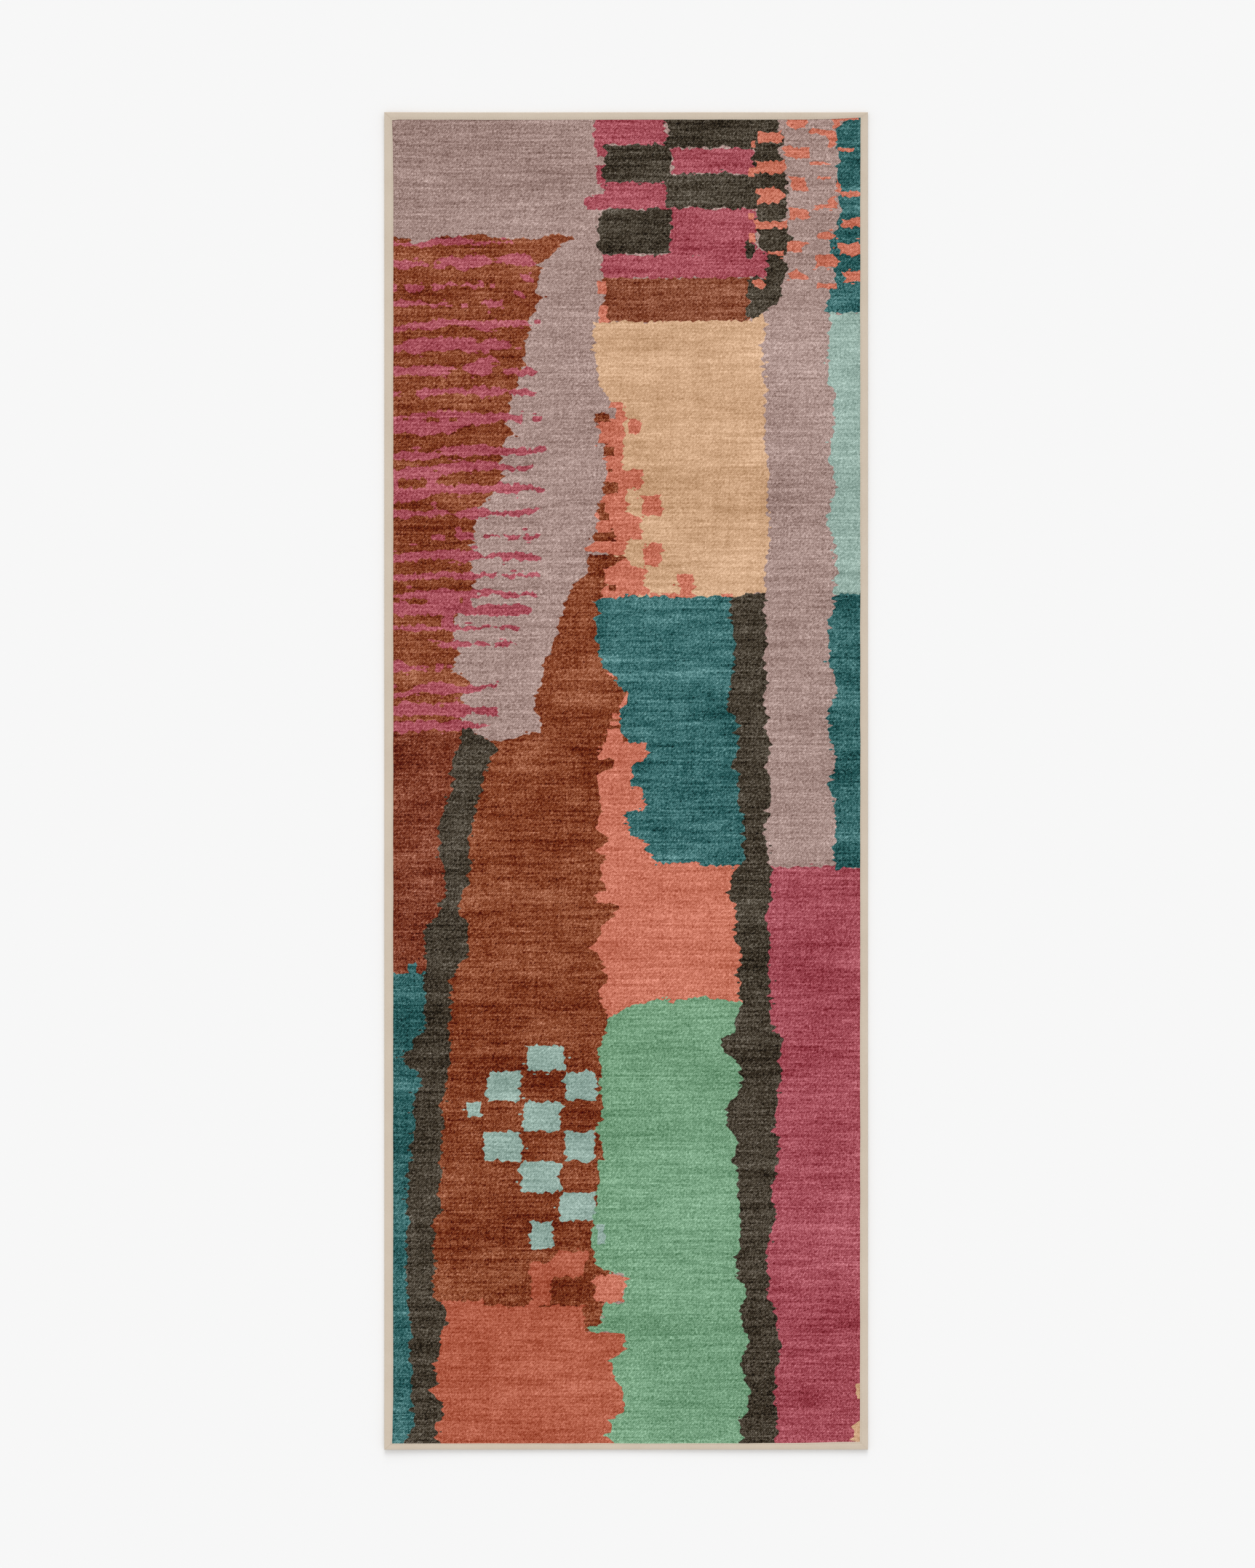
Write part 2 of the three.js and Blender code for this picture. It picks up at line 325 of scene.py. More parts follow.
# The print, in millimetres from the middle of the cloth, painted in this order.
# Each run is a dye, how wildly its rows wander, and the outlines dyed in it; four numbers are a
# block's left, top, right and bottom.
printPlan = [
    ("rust", 1.0, [
        # the striped quarter, and below it the ground that runs down between the charcoal and the middle
        [(-390, 857), (-352, 855), (-336, 847), (-318, 846), (-306, 856), (-230, 862), (-190, 855),
         (-150, 853), (-115, 862), (-83, 861), (-84, 853), (-100, 848), (-112, 834), (-139, 813),
         (-137, 790), (-146, 776), (-137, 762), (-145, 740), (-155, 728), (-151, 703), (-160, 694),
         (-159, 667), (-168, 640), (-178, 608), (-182, 588), (-190, 563), (-181, 548), (-195, 529),
         (-199, 500), (-195, 473), (-207, 455), (-228, 434), (-239, 413), (-244, 372), (-243, 332),
         (-237, 316), (-246, 298), (-263, 265), (-275, 239), (-272, 222), (-264, 208), (-265, 190),
         (-276, 173), (-246, 158), (-256, 135), (-262, 105), (-258, 74), (-390, 70)],
        [(-390, 80), (-245, 78), (-222, 66), (-200, 63), (-165, 71), (-135, 77), (-133, 95), (-140, 110),
         (-141, 134), (-136, 150), (-131, 182), (-121, 203), (-110, 229), (-105, 254), (-98, 280),
         (-87, 300), (-77, 316), (-64, 324), (-57, 342), (-59, 356), (-5, 345), (-25, 320), (-20, 285),
         (-5, 170), (8, 145), (8, 40), (0, -130), (0, -380), (0, -700), (-45, -870), (-320, -840),
         (-310, -420), (-300, -310), (-390, -308)],
    ]),
    ("deepRust", 1.0, [
        [(-390, 78), (-255, 76), (-262, 20), (-262, -20), (-280, -80), (-270, -150), (-290, -210),
         (-300, -306), (-390, -306)],
    ]),
    ("oldRust", 1.0, [[-36, 794, 196, 722]]),
    ("raspberry", 1.2, [
        # stripes woven into the rust, from the head down; from the seventh on they run out over the mauve
        [(-390, 855), (-367, 854), (-352, 848), (-330, 846), (-310, 853), (-274, 857), (-265, 859),
         (-240, 854), (-216, 851), (-177, 851), (-177, 846), (-209, 846), (-235, 845), (-268, 844),
         (-291, 845), (-313, 842), (-352, 842), (-390, 842)],
        [(-390, 821), (-352, 823), (-323, 821), (-317, 817), (-323, 811), (-346, 806), (-367, 809),
         (-390, 808)],
        [(-302, 820), (-287, 824), (-274, 828), (-265, 822), (-248, 829), (-229, 828), (-216, 824),
         (-180, 832), (-160, 831), (-148, 824), (-141, 816), (-151, 811), (-177, 814), (-209, 817),
         (-229, 812), (-245, 807), (-258, 804), (-268, 809), (-278, 814), (-284, 806), (-294, 806),
         (-299, 812)],
        [(-170, 799), (-152, 797), (-144, 789), (-146, 785), (-158, 787), (-168, 794)],
        [(-390, 783), (-367, 783), (-360, 781), (-361, 772), (-390, 770)],
        [(-351, 783), (-320, 783), (-318, 776), (-326, 771), (-345, 770), (-350, 776)],
        [(-310, 783), (-224, 785), (-224, 778), (-288, 778), (-296, 774), (-305, 778)],
        [-214, 784, -207, 777],
        [(-177, 773), (-167, 772), (-158, 763), (-160, 760), (-168, 762), (-176, 768)],
        [(-390, 754), (-367, 754), (-340, 757), (-310, 755), (-275, 751), (-275, 748), (-310, 748),
         (-345, 746), (-390, 745)],
        [-260, 752, -249, 746],
        [(-224, 757), (-192, 757), (-191, 750), (-205, 746), (-218, 747)],
        [(-390, 716), (-367, 716), (-323, 723), (-307, 726), (-265, 728), (-209, 726), (-154, 728),
         (-151, 717), (-177, 715), (-209, 713), (-232, 710), (-242, 715), (-265, 717), (-291, 716),
         (-307, 712), (-339, 710), (-390, 706)],
        [-144, 727, -135, 721],
        [(-390, 684), (-367, 684), (-352, 690), (-339, 697), (-307, 697), (-274, 701), (-242, 697),
         (-232, 689), (-225, 695), (-183, 694), (-180, 684), (-216, 679), (-222, 671), (-229, 679),
         (-242, 678), (-248, 673), (-265, 681), (-291, 678), (-313, 678), (-333, 672), (-352, 678),
         (-390, 671)],
        [(-390, 652), (-367, 653), (-271, 654), (-272, 640), (-300, 639), (-335, 641), (-390, 639)],
        [(-260, 650), (-245, 660), (-232, 666), (-206, 665), (-198, 655), (-213, 650), (-216, 640),
         (-232, 637), (-248, 642), (-258, 645)],
        [(-195, 651), (-164, 650), (-157, 655), (-144, 648), (-146, 638), (-170, 640), (-190, 642)],
        [(-330, 617), (-307, 620), (-160, 619), (-141, 614), (-143, 607), (-164, 609), (-183, 611),
         (-216, 609), (-226, 601), (-235, 609), (-274, 611), (-307, 607), (-323, 603), (-330, 609)],
        [(-390, 614), (-367, 614), (-352, 612), (-355, 606), (-390, 607)],
        [(-390, 574), (-367, 574), (-352, 577), (-333, 580), (-307, 581), (-252, 583), (-190, 578),
         (-164, 577), (-159, 569), (-167, 562), (-180, 568), (-196, 568), (-226, 562), (-235, 557),
         (-242, 564), (-261, 554), (-278, 546), (-291, 551), (-307, 546), (-323, 543), (-339, 551),
         (-390, 546)],
        [-147, 575, -133, 567],
        [(-390, 514), (-367, 515), (-349, 521), (-326, 520), (-313, 517), (-294, 525), (-242, 529),
         (-206, 528), (-196, 525), (-128, 526), (-130, 517), (-147, 518), (-164, 513), (-177, 516),
         (-216, 513), (-291, 512), (-307, 507), (-339, 505), (-390, 507)],
        [(-390, 491), (-330, 494), (-294, 499), (-271, 500), (-258, 505), (-242, 502), (-226, 506),
         (-216, 502), (-190, 499), (-164, 495), (-147, 499), (-149, 492), (-164, 487), (-187, 490),
         (-216, 490), (-265, 487), (-296, 481), (-301, 466), (-267, 467), (-215, 467), (-197, 470),
         (-145, 467), (-129, 462), (-131, 455), (-148, 458), (-180, 454), (-239, 454), (-302, 452),
         (-320, 444), (-351, 437), (-390, 440)],
        [(-390, 425), (-367, 425), (-344, 428), (-333, 423), (-309, 427), (-267, 423), (-257, 428),
         (-225, 433), (-208, 425), (-162, 428), (-141, 431), (-131, 427), (-155, 420), (-183, 418),
         (-218, 420), (-243, 413), (-257, 416), (-285, 420), (-326, 418), (-351, 413), (-390, 418)],
        [-305, 388, -285, 379],
        [(-270, 398), (-262, 400), (-255, 392), (-240, 390), (-238, 380), (-255, 380), (-268, 384)],
        [-225, 388, -199, 383],
        [(-192, 390), (-166, 388), (-172, 380), (-186, 379)],
        [(-162, 386), (-133, 389), (-136, 384), (-150, 379), (-160, 380)],
        [(-390, 356), (-367, 356), (-337, 360), (-309, 363), (-267, 365), (-239, 362), (-222, 355),
         (-197, 360), (-162, 362), (-131, 353), (-129, 348), (-162, 348), (-197, 350), (-225, 352),
         (-250, 346), (-285, 350), (-320, 348), (-351, 344), (-390, 346)],
        [(-390, 325), (-337, 327), (-302, 327), (-285, 332), (-267, 327), (-204, 328), (-202, 322),
         (-232, 322), (-246, 316), (-285, 320), (-320, 318), (-354, 314), (-390, 316)],
        [(-197, 326), (-150, 328), (-136, 327), (-136, 321), (-160, 322), (-190, 320)],
        [(-390, 292), (-367, 293), (-330, 299), (-285, 304), (-250, 300), (-222, 304), (-197, 299),
         (-176, 297), (-141, 296), (-140, 290), (-162, 292), (-183, 290), (-218, 293), (-246, 285),
         (-239, 273), (-218, 279), (-197, 277), (-162, 279), (-148, 269), (-152, 262), (-176, 260),
         (-239, 262), (-320, 260), (-390, 262)],
        [(-390, 245), (-292, 245), (-288, 262), (-275, 262), (-270, 245), (-197, 245), (-183, 248),
         (-168, 241), (-169, 236), (-197, 240), (-267, 237), (-320, 238), (-330, 234), (-351, 239),
         (-390, 237)],
        [(-311, 223), (-288, 218), (-267, 223), (-257, 218), (-197, 218), (-191, 225), (-187, 218),
         (-171, 216), (-194, 210), (-232, 214), (-257, 212), (-288, 211), (-302, 214)],
        [(-390, 190), (-367, 190), (-358, 192), (-347, 183), (-309, 180), (-316, 171), (-337, 176),
         (-358, 171), (-390, 174)],
        [-300, 185, -288, 176],
        [-283, 183, -274, 178],
        [(-390, 140), (-351, 141), (-337, 145), (-316, 155), (-285, 155), (-257, 150), (-201, 152),
         (-201, 141), (-222, 143), (-250, 139), (-302, 136), (-320, 141), (-351, 132), (-390, 129)],
        [(-390, 118), (-367, 119), (-351, 125), (-326, 122), (-267, 124), (-250, 119), (-232, 115),
         (-201, 117), (-201, 101), (-222, 104), (-243, 107), (-257, 101), (-302, 103), (-390, 102)],
        [(-390, 90), (-367, 91), (-337, 96), (-302, 94), (-250, 94), (-232, 90), (-213, 90), (-222, 85),
         (-239, 83), (-260, 79), (-302, 82), (-337, 80), (-351, 76), (-390, 78)],
    ]),
    ("rust", 1.2, [
        # the rust's own marks within those stripes
        [-357, 856, -339, 850],
        [-239, 856, -216, 850],
        [-352, 573, -343, 568],
        [-314, 573, -294, 566],
        [-278, 573, -265, 566],
        [-358, 474, -314, 461],
        [(-348, 287), (-330, 288), (-312, 285), (-318, 279), (-342, 280)],
        [-368, 289, -356, 281],
        [-262, 289, -257, 280],
    ]),
    ("raspberry", 1.0, [
        # the chequer and the long right-hand block
        [(-47, 1060), (64, 1060), (61, 1001), (-31, 1003), (-31, 982), (-44, 984), (-51, 1000)],
        [-47, 970, -30, 942],
        [71, 997, 204, 957],
        [(-33, 946), (68, 944), (67, 900), (-39, 900), (-62, 901), (-60, 922), (-34, 926), (-40, 936)],
        [69, 904, 205, 826],
        [(-36, 830), (205, 830), (206, 838), (226, 837), (227, 793), (-35, 793)],
        [214, -135, 390, -1062],
    ]),
    ("teal", 1.0, [
        [(345, 1062), (390, 1062), (390, 737), (321, 737), (318, 765), (331, 800), (322, 812), (325, 838),
         (320, 852), (331, 870), (338, 897), (338, 925), (331, 940), (335, 957), (338, 990), (331, 1005),
         (334, 1030), (345, 1040)],
        [(326, 294), (390, 298), (390, -138), (328, -137), (327, -76), (331, -51), (326, -28), (319, -10),
         (331, 31), (326, 57), (319, 68), (320, 103), (327, 124), (330, 150), (329, 167), (318, 193),
         (319, 254), (326, 280)],
        [(-390, -302), (-342, -301), (-340, -288), (-332, -287), (-330, -302), (-308, -302), (-308, -400),
         (-318, -480), (-330, -540), (-330, -1062), (-390, -1062)],
    ]),
    ("aqua", 1.0, [
        [(321, 737), (390, 739), (390, 298), (326, 294), (329, 320), (333, 360), (326, 387), (319, 403),
         (321, 424), (331, 460), (328, 475), (321, 495), (320, 534), (326, 550), (330, 565), (329, 611),
         (319, 627), (318, 667)],
        [-157, -417, -97, -457],
        [-218, -458, -165, -504],
        [-95, -458, -46, -504],
        [-251, -506, -228, -530],
        [-161, -506, -104, -552],
        [-223, -553, -165, -599],
        [-97, -553, -49, -599],
        [-167, -600, -104, -648],
        [-104, -648, -47, -693],
        [-150, -695, -115, -736],
    ]),
    ("terracotta", 1.0, [
        [(-105, -740), (-60, -741), (-62, -758), (-67, -782), (-113, -783), (-122, -790), (-123, -828),
         (-149, -828), (-149, -758), (-128, -762), (-112, -750)],
        [(-315, -820), (-226, -819), (-222, -827), (-62, -827), (-61, -868), (15, -871), (15, -1062),
         (-315, -1062)],
    ]),
    ("peach", 1.0, [
        [(-50, 724), (198, 726), (198, 735), (216, 736), (218, 720), (218, 690), (214, 645), (218, 600),
         (220, 520), (226, 480), (221, 439), (224, 403), (222, 367), (217, 316), (222, 295), (205, 297),
         (190, 288), (100, 288), (-30, 288), (-26, 480), (-20, 585), (-22, 598), (-31, 612), (-42, 625),
         (-44, 650), (-51, 680), (-52, 702)],
    ]),
    ("coral", 1.0, [
        [(-24, 597), (-8, 599), (-1, 588), (-1, 548), (-5, 520), (-4, 491), (28, 491), (24, 462),
         (0, 460), (2, 424), (24, 414), (24, 381), (0, 378), (-1, 355), (10, 339), (29, 334), (28, 316),
         (37, 292), (-36, 284), (-36, 318), (-31, 335), (-4, 352), (-20, 358), (-64, 362), (-62, 370),
         (-49, 378), (-48, 395), (-44, 410), (-44, 439), (-31, 450), (-31, 500), (-33, 530), (-44, 534),
         (-44, 566), (-28, 572)],
        [3, 571, 24, 547],
        [26, 450, 55, 417],
        [(38, 377), (56, 375), (57, 348), (48, 338), (30, 340), (28, 362)],
        [(80, 327), (105, 327), (110, 315), (105, 288), (36, 286), (40, 296), (84, 294), (88, 308),
         (78, 318)],
        [149, 295, 167, 285],
        [-43, 750, -30, 722],
        [-45, 788, -31, 767],
        # the column beside the lower teal block, and the block below it
        [(-36, 62), (60, 62), (60, -100), (200, -110), (200, -385), (-20, -385), (-26, -371), (-41, -351),
         (-41, -328), (-31, -315), (-31, -294), (-44, -276), (-49, -263), (-41, -233), (-36, -225),
         (-18, -212), (-16, -197), (-46, -192), (-49, -176), (-31, -174), (-36, -156), (-40, -132),
         (-31, -123), (-45, -110), (-26, -92), (-45, -76), (-38, -48), (-44, -20), (-44, 12), (-18, 20),
         (-20, 33), (-44, 34)],
        [(-32, 171), (-22, 170), (-18, 163), (-26, 166)],
        [(-2, 141), (5, 132), (1, 118), (-9, 113), (-10, 118), (-4, 127)],
        [-20, 107, -6, 98],
        [-26, 94, -8, 88],
        [-31, 82, -4, 61],
        [-49, -777, 2, -822],
    ]),
    ("teal", 1.0, [
        [(-50, 283), (-40, 288), (0, 290), (10, 295), (22, 290), (60, 291), (100, 288), (140, 292),
         (176, 288), (196, 150), (198, -50), (200, -133), (115, -134), (111, -126), (95, -128),
         (60, -131), (46, -127), (36, -114), (30, -108), (33, -100), (26, -92), (8, -84), (1, -62),
         (2, -48), (26, -48), (30, -25), (23, -10), (8, -7), (10, 26), (28, 31), (33, 45), (33, 60),
         (3, 61), (-5, 72), (-9, 93), (-8, 114), (1, 121), (0, 142), (-15, 152), (-17, 167), (-38, 178),
         (-45, 200), (-47, 240)],
    ]),
    ("mint", 1.0, [
        [(-26, -372), (-8, -364), (15, -352), (45, -345), (72, -344), (75, -351), (80, -344), (120, -343),
         (194, -348), (205, -1062), (-17, -1062), (-18, -1043), (-36, -1031), (-23, -1022), (-23, -1007),
         (-1, -992), (-5, -962), (-19, -935), (-23, -914), (-5, -899), (0, -871), (-59, -868),
         (-59, -862), (-44, -853), (-36, -824), (-3, -823), (0, -777), (-36, -771), (-51, -750),
         (-54, -723), (-54, -692), (-47, -666), (-44, -635), (-45, -597), (-38, -590), (-38, -565),
         (-49, -551), (-36, -533), (-36, -515), (-44, -471), (-35, -452), (-46, -428), (-31, -397)],
    ]),
    ("aqua", 1.0, [[-46, -699, -33, -730]]),
    ("rust", 1.0, [
        [-49, 579, -26, 566],
        [-36, 526, -18, 512],
        [-36, 471, -12, 453],
        [(-44, 439), (-32, 437), (-33, 424), (-26, 420), (-26, 411), (-43, 410)],
        [-49, 393, -19, 378],
        [(-60, 357), (-5, 356), (-12, 345), (-30, 334), (-60, 334)],
        [-28, 492, -22, 487],
        [-26, 309, -16, 300],
        [-49, -572, -37, -598],
        [-50, -456, -38, -468],
        [-64, -822, -41, -858],
    ]),
    ("mauve", 1.0, [[-27, 588, -16, 571]]),
    ("charcoal", 1.0, [
        # down the left, beside the teal
        [(-260, 84), (-243, 84), (-238, 74), (-222, 66), (-207, 58), (-199, 48), (-213, 42), (-216, 21),
         (-224, 6), (-228, -15), (-234, -35), (-239, -56), (-244, -82), (-249, -97), (-244, -133),
         (-252, -165), (-259, -181), (-262, -212), (-249, -222), (-246, -266), (-262, -294), (-277, -315),
         (-274, -345), (-280, -382), (-277, -417), (-280, -466), (-287, -492), (-295, -512), (-287, -533),
         (-288, -563), (-293, -594), (-290, -625), (-295, -651), (-287, -676), (-303, -694), (-305, -733),
         (-303, -760), (-302, -817), (-287, -826), (-282, -858), (-293, -868), (-293, -904), (-300, -914),
         (-300, -950), (-308, -960), (-300, -970), (-287, -986), (-287, -1001), (-298, -1010),
         (-296, -1062), (-349, -1062), (-348, -1043), (-346, -1030), (-331, -1017), (-336, -1001),
         (-339, -966), (-336, -925), (-344, -914), (-336, -873), (-339, -853), (-344, -827), (-346, -750),
         (-344, -671), (-344, -635), (-341, -594), (-336, -569), (-331, -538), (-336, -522), (-334, -497),
         (-323, -481), (-323, -461), (-344, -450), (-355, -435), (-339, -423), (-336, -405), (-318, -397),
         (-318, -350), (-323, -315), (-316, -299), (-318, -233), (-305, -220), (-290, -200), (-300, -194),
         (-282, -184), (-288, -138), (-295, -117), (-298, -87), (-295, -64), (-288, -51), (-280, -35),
         (-275, -20), (-270, 3), (-276, 11), (-276, 29), (-268, 42), (-262, 60)],
        # down the right of the teal and mint blocks
        [(163, 290), (180, 291), (190, 296), (220, 297), (218, 265), (221, 249), (217, 213), (216, 193),
         (221, 167), (221, 72), (226, 64), (226, 42), (221, 21), (226, -5), (226, -51), (218, -76),
         (221, -107), (228, -140), (227, -202), (218, -212), (221, -228), (226, -235), (224, -315),
         (228, -335), (227, -394), (245, -398), (246, -430), (244, -461), (238, -507), (237, -546),
         (228, -553), (240, -561), (239, -599), (228, -651), (236, -687), (226, -707), (225, -733),
         (220, -748), (224, -817), (234, -827), (239, -848), (234, -858), (244, -883), (239, -919),
         (234, -975), (240, -1017), (235, -1044), (235, -1062), (185, -1062), (181, -1027), (181, -1007),
         (195, -986), (190, -937), (181, -925), (187, -899), (194, -878), (184, -863), (180, -848),
         (185, -827), (187, -801), (172, -776), (172, -750), (185, -738), (177, -723), (184, -707),
         (177, -676), (175, -610), (167, -594), (173, -579), (172, -558), (157, -546), (157, -535),
         (162, -510), (175, -494), (183, -479), (182, -451), (164, -435), (151, -428), (149, -405),
         (172, -397), (172, -387), (182, -351), (177, -335), (177, -253), (172, -238), (176, -222),
         (175, -197), (169, -194), (163, -176), (163, -150), (183, -128), (187, -87), (184, -56),
         (177, -35), (177, 11), (167, 21), (172, 37), (177, 62), (173, 83), (173, 103), (164, 108),
         (162, 129), (167, 152), (163, 165), (168, 180), (172, 200), (172, 225), (165, 250), (163, 265)],
        # the chequer
        [64, 1060, 238, 998],
        [(-34, 1003), (40, 1003), (44, 1008), (50, 1002), (71, 1001), (70, 944), (-34, 943)],
        [64, 957, 251, 903],
        [(-33, 901), (70, 902), (72, 868), (66, 845), (68, 833), (48, 830), (44, 825), (40, 831),
         (-36, 830), (-45, 845), (-42, 870), (-44, 885)],
        # the ragged strip on its right
        [(203, 1058), (238, 1058), (236, 1030), (248, 1020), (246, 1003), (238, 992), (250, 978),
         (249, 955), (251, 930), (246, 908), (250, 895), (246, 884), (256, 880), (258, 868), (257, 836),
         (250, 828), (254, 815), (253, 795), (247, 780), (246, 765), (240, 757), (228, 745), (205, 731),
         (188, 731), (190, 745), (195, 757), (190, 770), (192, 790), (200, 795), (222, 792), (225, 831),
         (212, 838), (210, 853), (205, 870), (203, 905), (203, 960), (199, 1000)],
        [(189, 853), (197, 858), (206, 852), (203, 835), (198, 822), (191, 822)],
    ]),
    ("coral", 1.0, [
        # patches on the charcoal strip
        [208, 1024, 246, 1006],
        [197, 1009, 204, 998],
        [204, 978, 250, 958],
        [193, 967, 204, 953],
        [(205, 934), (240, 935), (247, 928), (243, 912), (206, 910)],
        [193, 895, 202, 885],
        [203, 883, 254, 870],
        [194, 864, 202, 848],
        [221, 835, 249, 828],
        [(200, 790), (212, 792), (221, 783), (216, 775), (202, 779)],
        # on the mauve
        [(254, 1062), (288, 1062), (284, 1029), (268, 1027), (254, 1033)],
        [(249, 1001), (288, 998), (288, 982), (268, 980), (249, 987)],
        [(256, 954), (282, 951), (285, 930), (262, 930)],
        [(254, 903), (282, 902), (291, 896), (288, 885), (256, 884)],
        [(252, 850), (280, 852), (288, 848), (278, 840), (276, 833), (254, 834)],
        [(254, 800), (266, 809), (280, 800), (293, 790), (275, 789), (256, 793)],
        # where mauve meets teal
        [(328, 1046), (366, 1050), (366, 1042), (336, 1041), (334, 1026), (326, 1028)],
        [(290, 1026), (328, 1026), (332, 1018), (325, 1000), (316, 1001), (316, 1018), (292, 1019)],
        [333, 998, 359, 992],
        [290, 975, 323, 971],
        [(331, 949), (338, 940), (342, 929), (368, 930), (366, 921), (340, 921), (332, 930)],
        [300, 953, 323, 949],
        [(321, 922), (331, 921), (332, 902), (293, 901), (294, 907), (318, 909)],
        [339, 886, 376, 873],
        [(300, 863), (318, 867), (331, 860), (324, 854), (302, 855)],
        [336, 848, 376, 829],
        [(297, 829), (325, 829), (337, 820), (332, 809), (298, 811)],
        [341, 803, 376, 788],
        [300, 785, 331, 776],
    ]),
    ("peach", 1.0, [
        [364, -950, 390, -973],
        [(366, -1006), (390, -1004), (390, -1062), (357, -1062), (357, -1018)],
    ]),
]

# Weft dabs of one dye that stray into its neighbour: the dye, the box they fall in, how many.
strayPlan = [
    ("raspberry", (-366, 856, -165, 600), 12),
    ("rust", (-366, 848, -190, 470), 20),
    ("raspberry", (-366, 600, -250, 90), 10),
    ("raspberry", (-262, 470, -140, 210), 8),
    ("rust", (-366, 470, -255, 85), 22),
    ("mauve", (-240, 300, -200, 90), 10),
]

# Where the cloth has faded or kept its depth: the middle and the reach of each soft patch, and by how
# many levels of 255 it is lighter.
fadePlan = [
    ((-220, 985), (190, 75), -12),
    ((140, 865), (60, 30), 12),
    ((-245, 750), (65, 70), 18),
    ((250, 655), (110, 60), 12),
    ((290, 530), (60, 140), 6),
    ((-265, 505), (85, 70), 19),
    ((80, 480), (190, 65), -11),
    ((95, 245), (50, 35), -9),
    ((-75, 175), (70, 60), 33),
    ((40, 165), (60, 40), 12),
    ((345, 120), (50, 90), -9),
    ((197, 100), (30, 110), 7),
    ((90, -10), (40, 40), -8),
    ((-285, 5), (70, 55), 16),
    ((345, -90), (50, 40), 13),
    ((-190, -170), (65, 45), 13),
    ((-31, -258), (35, 40), -13),
    ((300, -300), (80, 70), -7),
    ((-350, -330), (70, 70), -11),
    ((-345, -505), (40, 40), -12),
    ((-120, -550), (70, 60), -13),
    ((20, -560), (75, 50), -6),
    ((345, -600), (45, 45), 8),
    ((-290, -600), (55, 40), 14),
    ((120, -680), (220, 45), 11),
    ((-350, -765), (45, 40), 12),
    ((-200, -765), (70, 40), -9),
    ((275, -940), (90, 55), -20),
    ((-90, -1015), (110, 40), 10),
]


def fadeAt(x, y):
    total = 0.0
    for (middleX, middleY), (reachX, reachY), step in fadePlan:
        total += step * math.exp(-((x - middleX) / reachX) ** 2 - ((y - middleY) / reachY) ** 2)
    return total / 255


def signedArea(points):
    ends = points[1:] + points[:1]
    return sum(ax * by - bx * ay for (ax, ay), (bx, by) in zip(points, ends)) / 2


def driftAt(x, y, length, layer):
    return 2 * noise.noise(Vector((x / length, y / length, layer)))


def frayed(points, dice, layer, keep, wild):
    # An outline with its colour change frayed as the cloth's rows and warps would fray it,
    # and a few flecks of its dye that have strayed just outside.
    plan = frayPlan
    rough, flecks = [], []
    wide = max(x for x, y in points) - min(x for x, y in points)
    tall = max(y for x, y in points) - min(y for x, y in points)
    calm = min(1.0, max(wide, tall) / plan["calmUnder"])
    for (ax, ay), (bx, by) in zip(points, points[1:] + points[:1]):
        run = math.hypot(bx - ax, by - ay)
        upright = abs(by - ay) / run
        pitch = plan["wavePitch"] + (plan["toothPitch"] - plan["wavePitch"]) * upright
        count = max(1, round(run / pitch))
        for step in range(count):
            share = (step + dice.uniform(-plan["jitter"], plan["jitter"]) * (step > 0)) / count
            x = ax + (bx - ax) * share
            y = ay + (by - ay) * share
            side = plan["sideDrift"] * driftAt(x, y, plan["sideDriftLength"], layer)
            side += dice.uniform(-1, 1) * plan["tooth"] + dice.uniform(-1, 1) ** 3 * plan["spike"]
            if dice.random() < plan["featherShare"] * upright:
                side += dice.choice((-1, 1)) * plan["feather"]
            row = plan["rowDrift"] * driftAt(x, y, plan["rowDriftLength"], layer + 0.5)
            row += dice.uniform(-1, 1) * plan["wave"] + dice.uniform(-1, 1) ** 3 * plan["notch"]
            x += calm * side * (upright + plan["sideOnRow"] * (1 - upright))
            y += calm * wild * row * (1 - upright)
            rough.append((min(max(x, -keep.x), keep.x), min(max(y, -keep.y), keep.y)))
            if dice.random() < plan["fleckShare"] * wild:
                out = dice.uniform(*plan["fleckReach"])
                flecks.append((x + out * (by - ay) / run, y - 0.7 * out * (bx - ax) / run))
    return rough, flecks


def blockOutline(block):
    if len(block) == 4 and not isinstance(block[0], tuple):
        left, top, right, bottom = block
        return [(left, bottom), (right, bottom), (right, top), (left, top)]
    return block if signedArea(block) > 0 else block[::-1]


def lensOutline(x, y, long, tall, dice, keep):
    # A dab a few rows tall, pointed at both ends.
    outline = []
    for along, up in ((-1, 0), (-0.45, -0.5), (0.4, -0.45), (1, 0), (0.35, 0.5), (-0.5, 0.45)):
        placeX = x + long * along * dice.uniform(0.75, 1.1)
        placeY = y + tall * up * dice.uniform(0.7, 1.3)
        outline.append((placeX, placeY))
    return [(min(max(px, -keep.x), keep.x), min(max(py, -keep.y), keep.y)) for px, py in outline]


def printOutlines(keep):
    dice = random.Random(frayPlan["seed"])
    outlines = []
    for dye, wild, blocks in printPlan:
        flecks = []
        for block in blocks:
            layer = 10.0 + 1.7 * len(outlines)
            outline, strays = frayed(blockOutline(block), dice, layer, keep, wild)
            outlines.append((dye, outline))
            flecks.extend(strays)
        for x, y in flecks:
            long = dice.uniform(*frayPlan["fleckLength"])
            tall = dice.uniform(*frayPlan["fleckHeight"])
            outlines.append((dye, lensOutline(x, y, long, tall, dice, keep)))
        # The strays follow the rust's own marks, so that they lie over the stripes and under the rest.
        if wild > 1 and dye == "rust":
            outlines.extend(strayDabs(dice, keep))
    return outlines


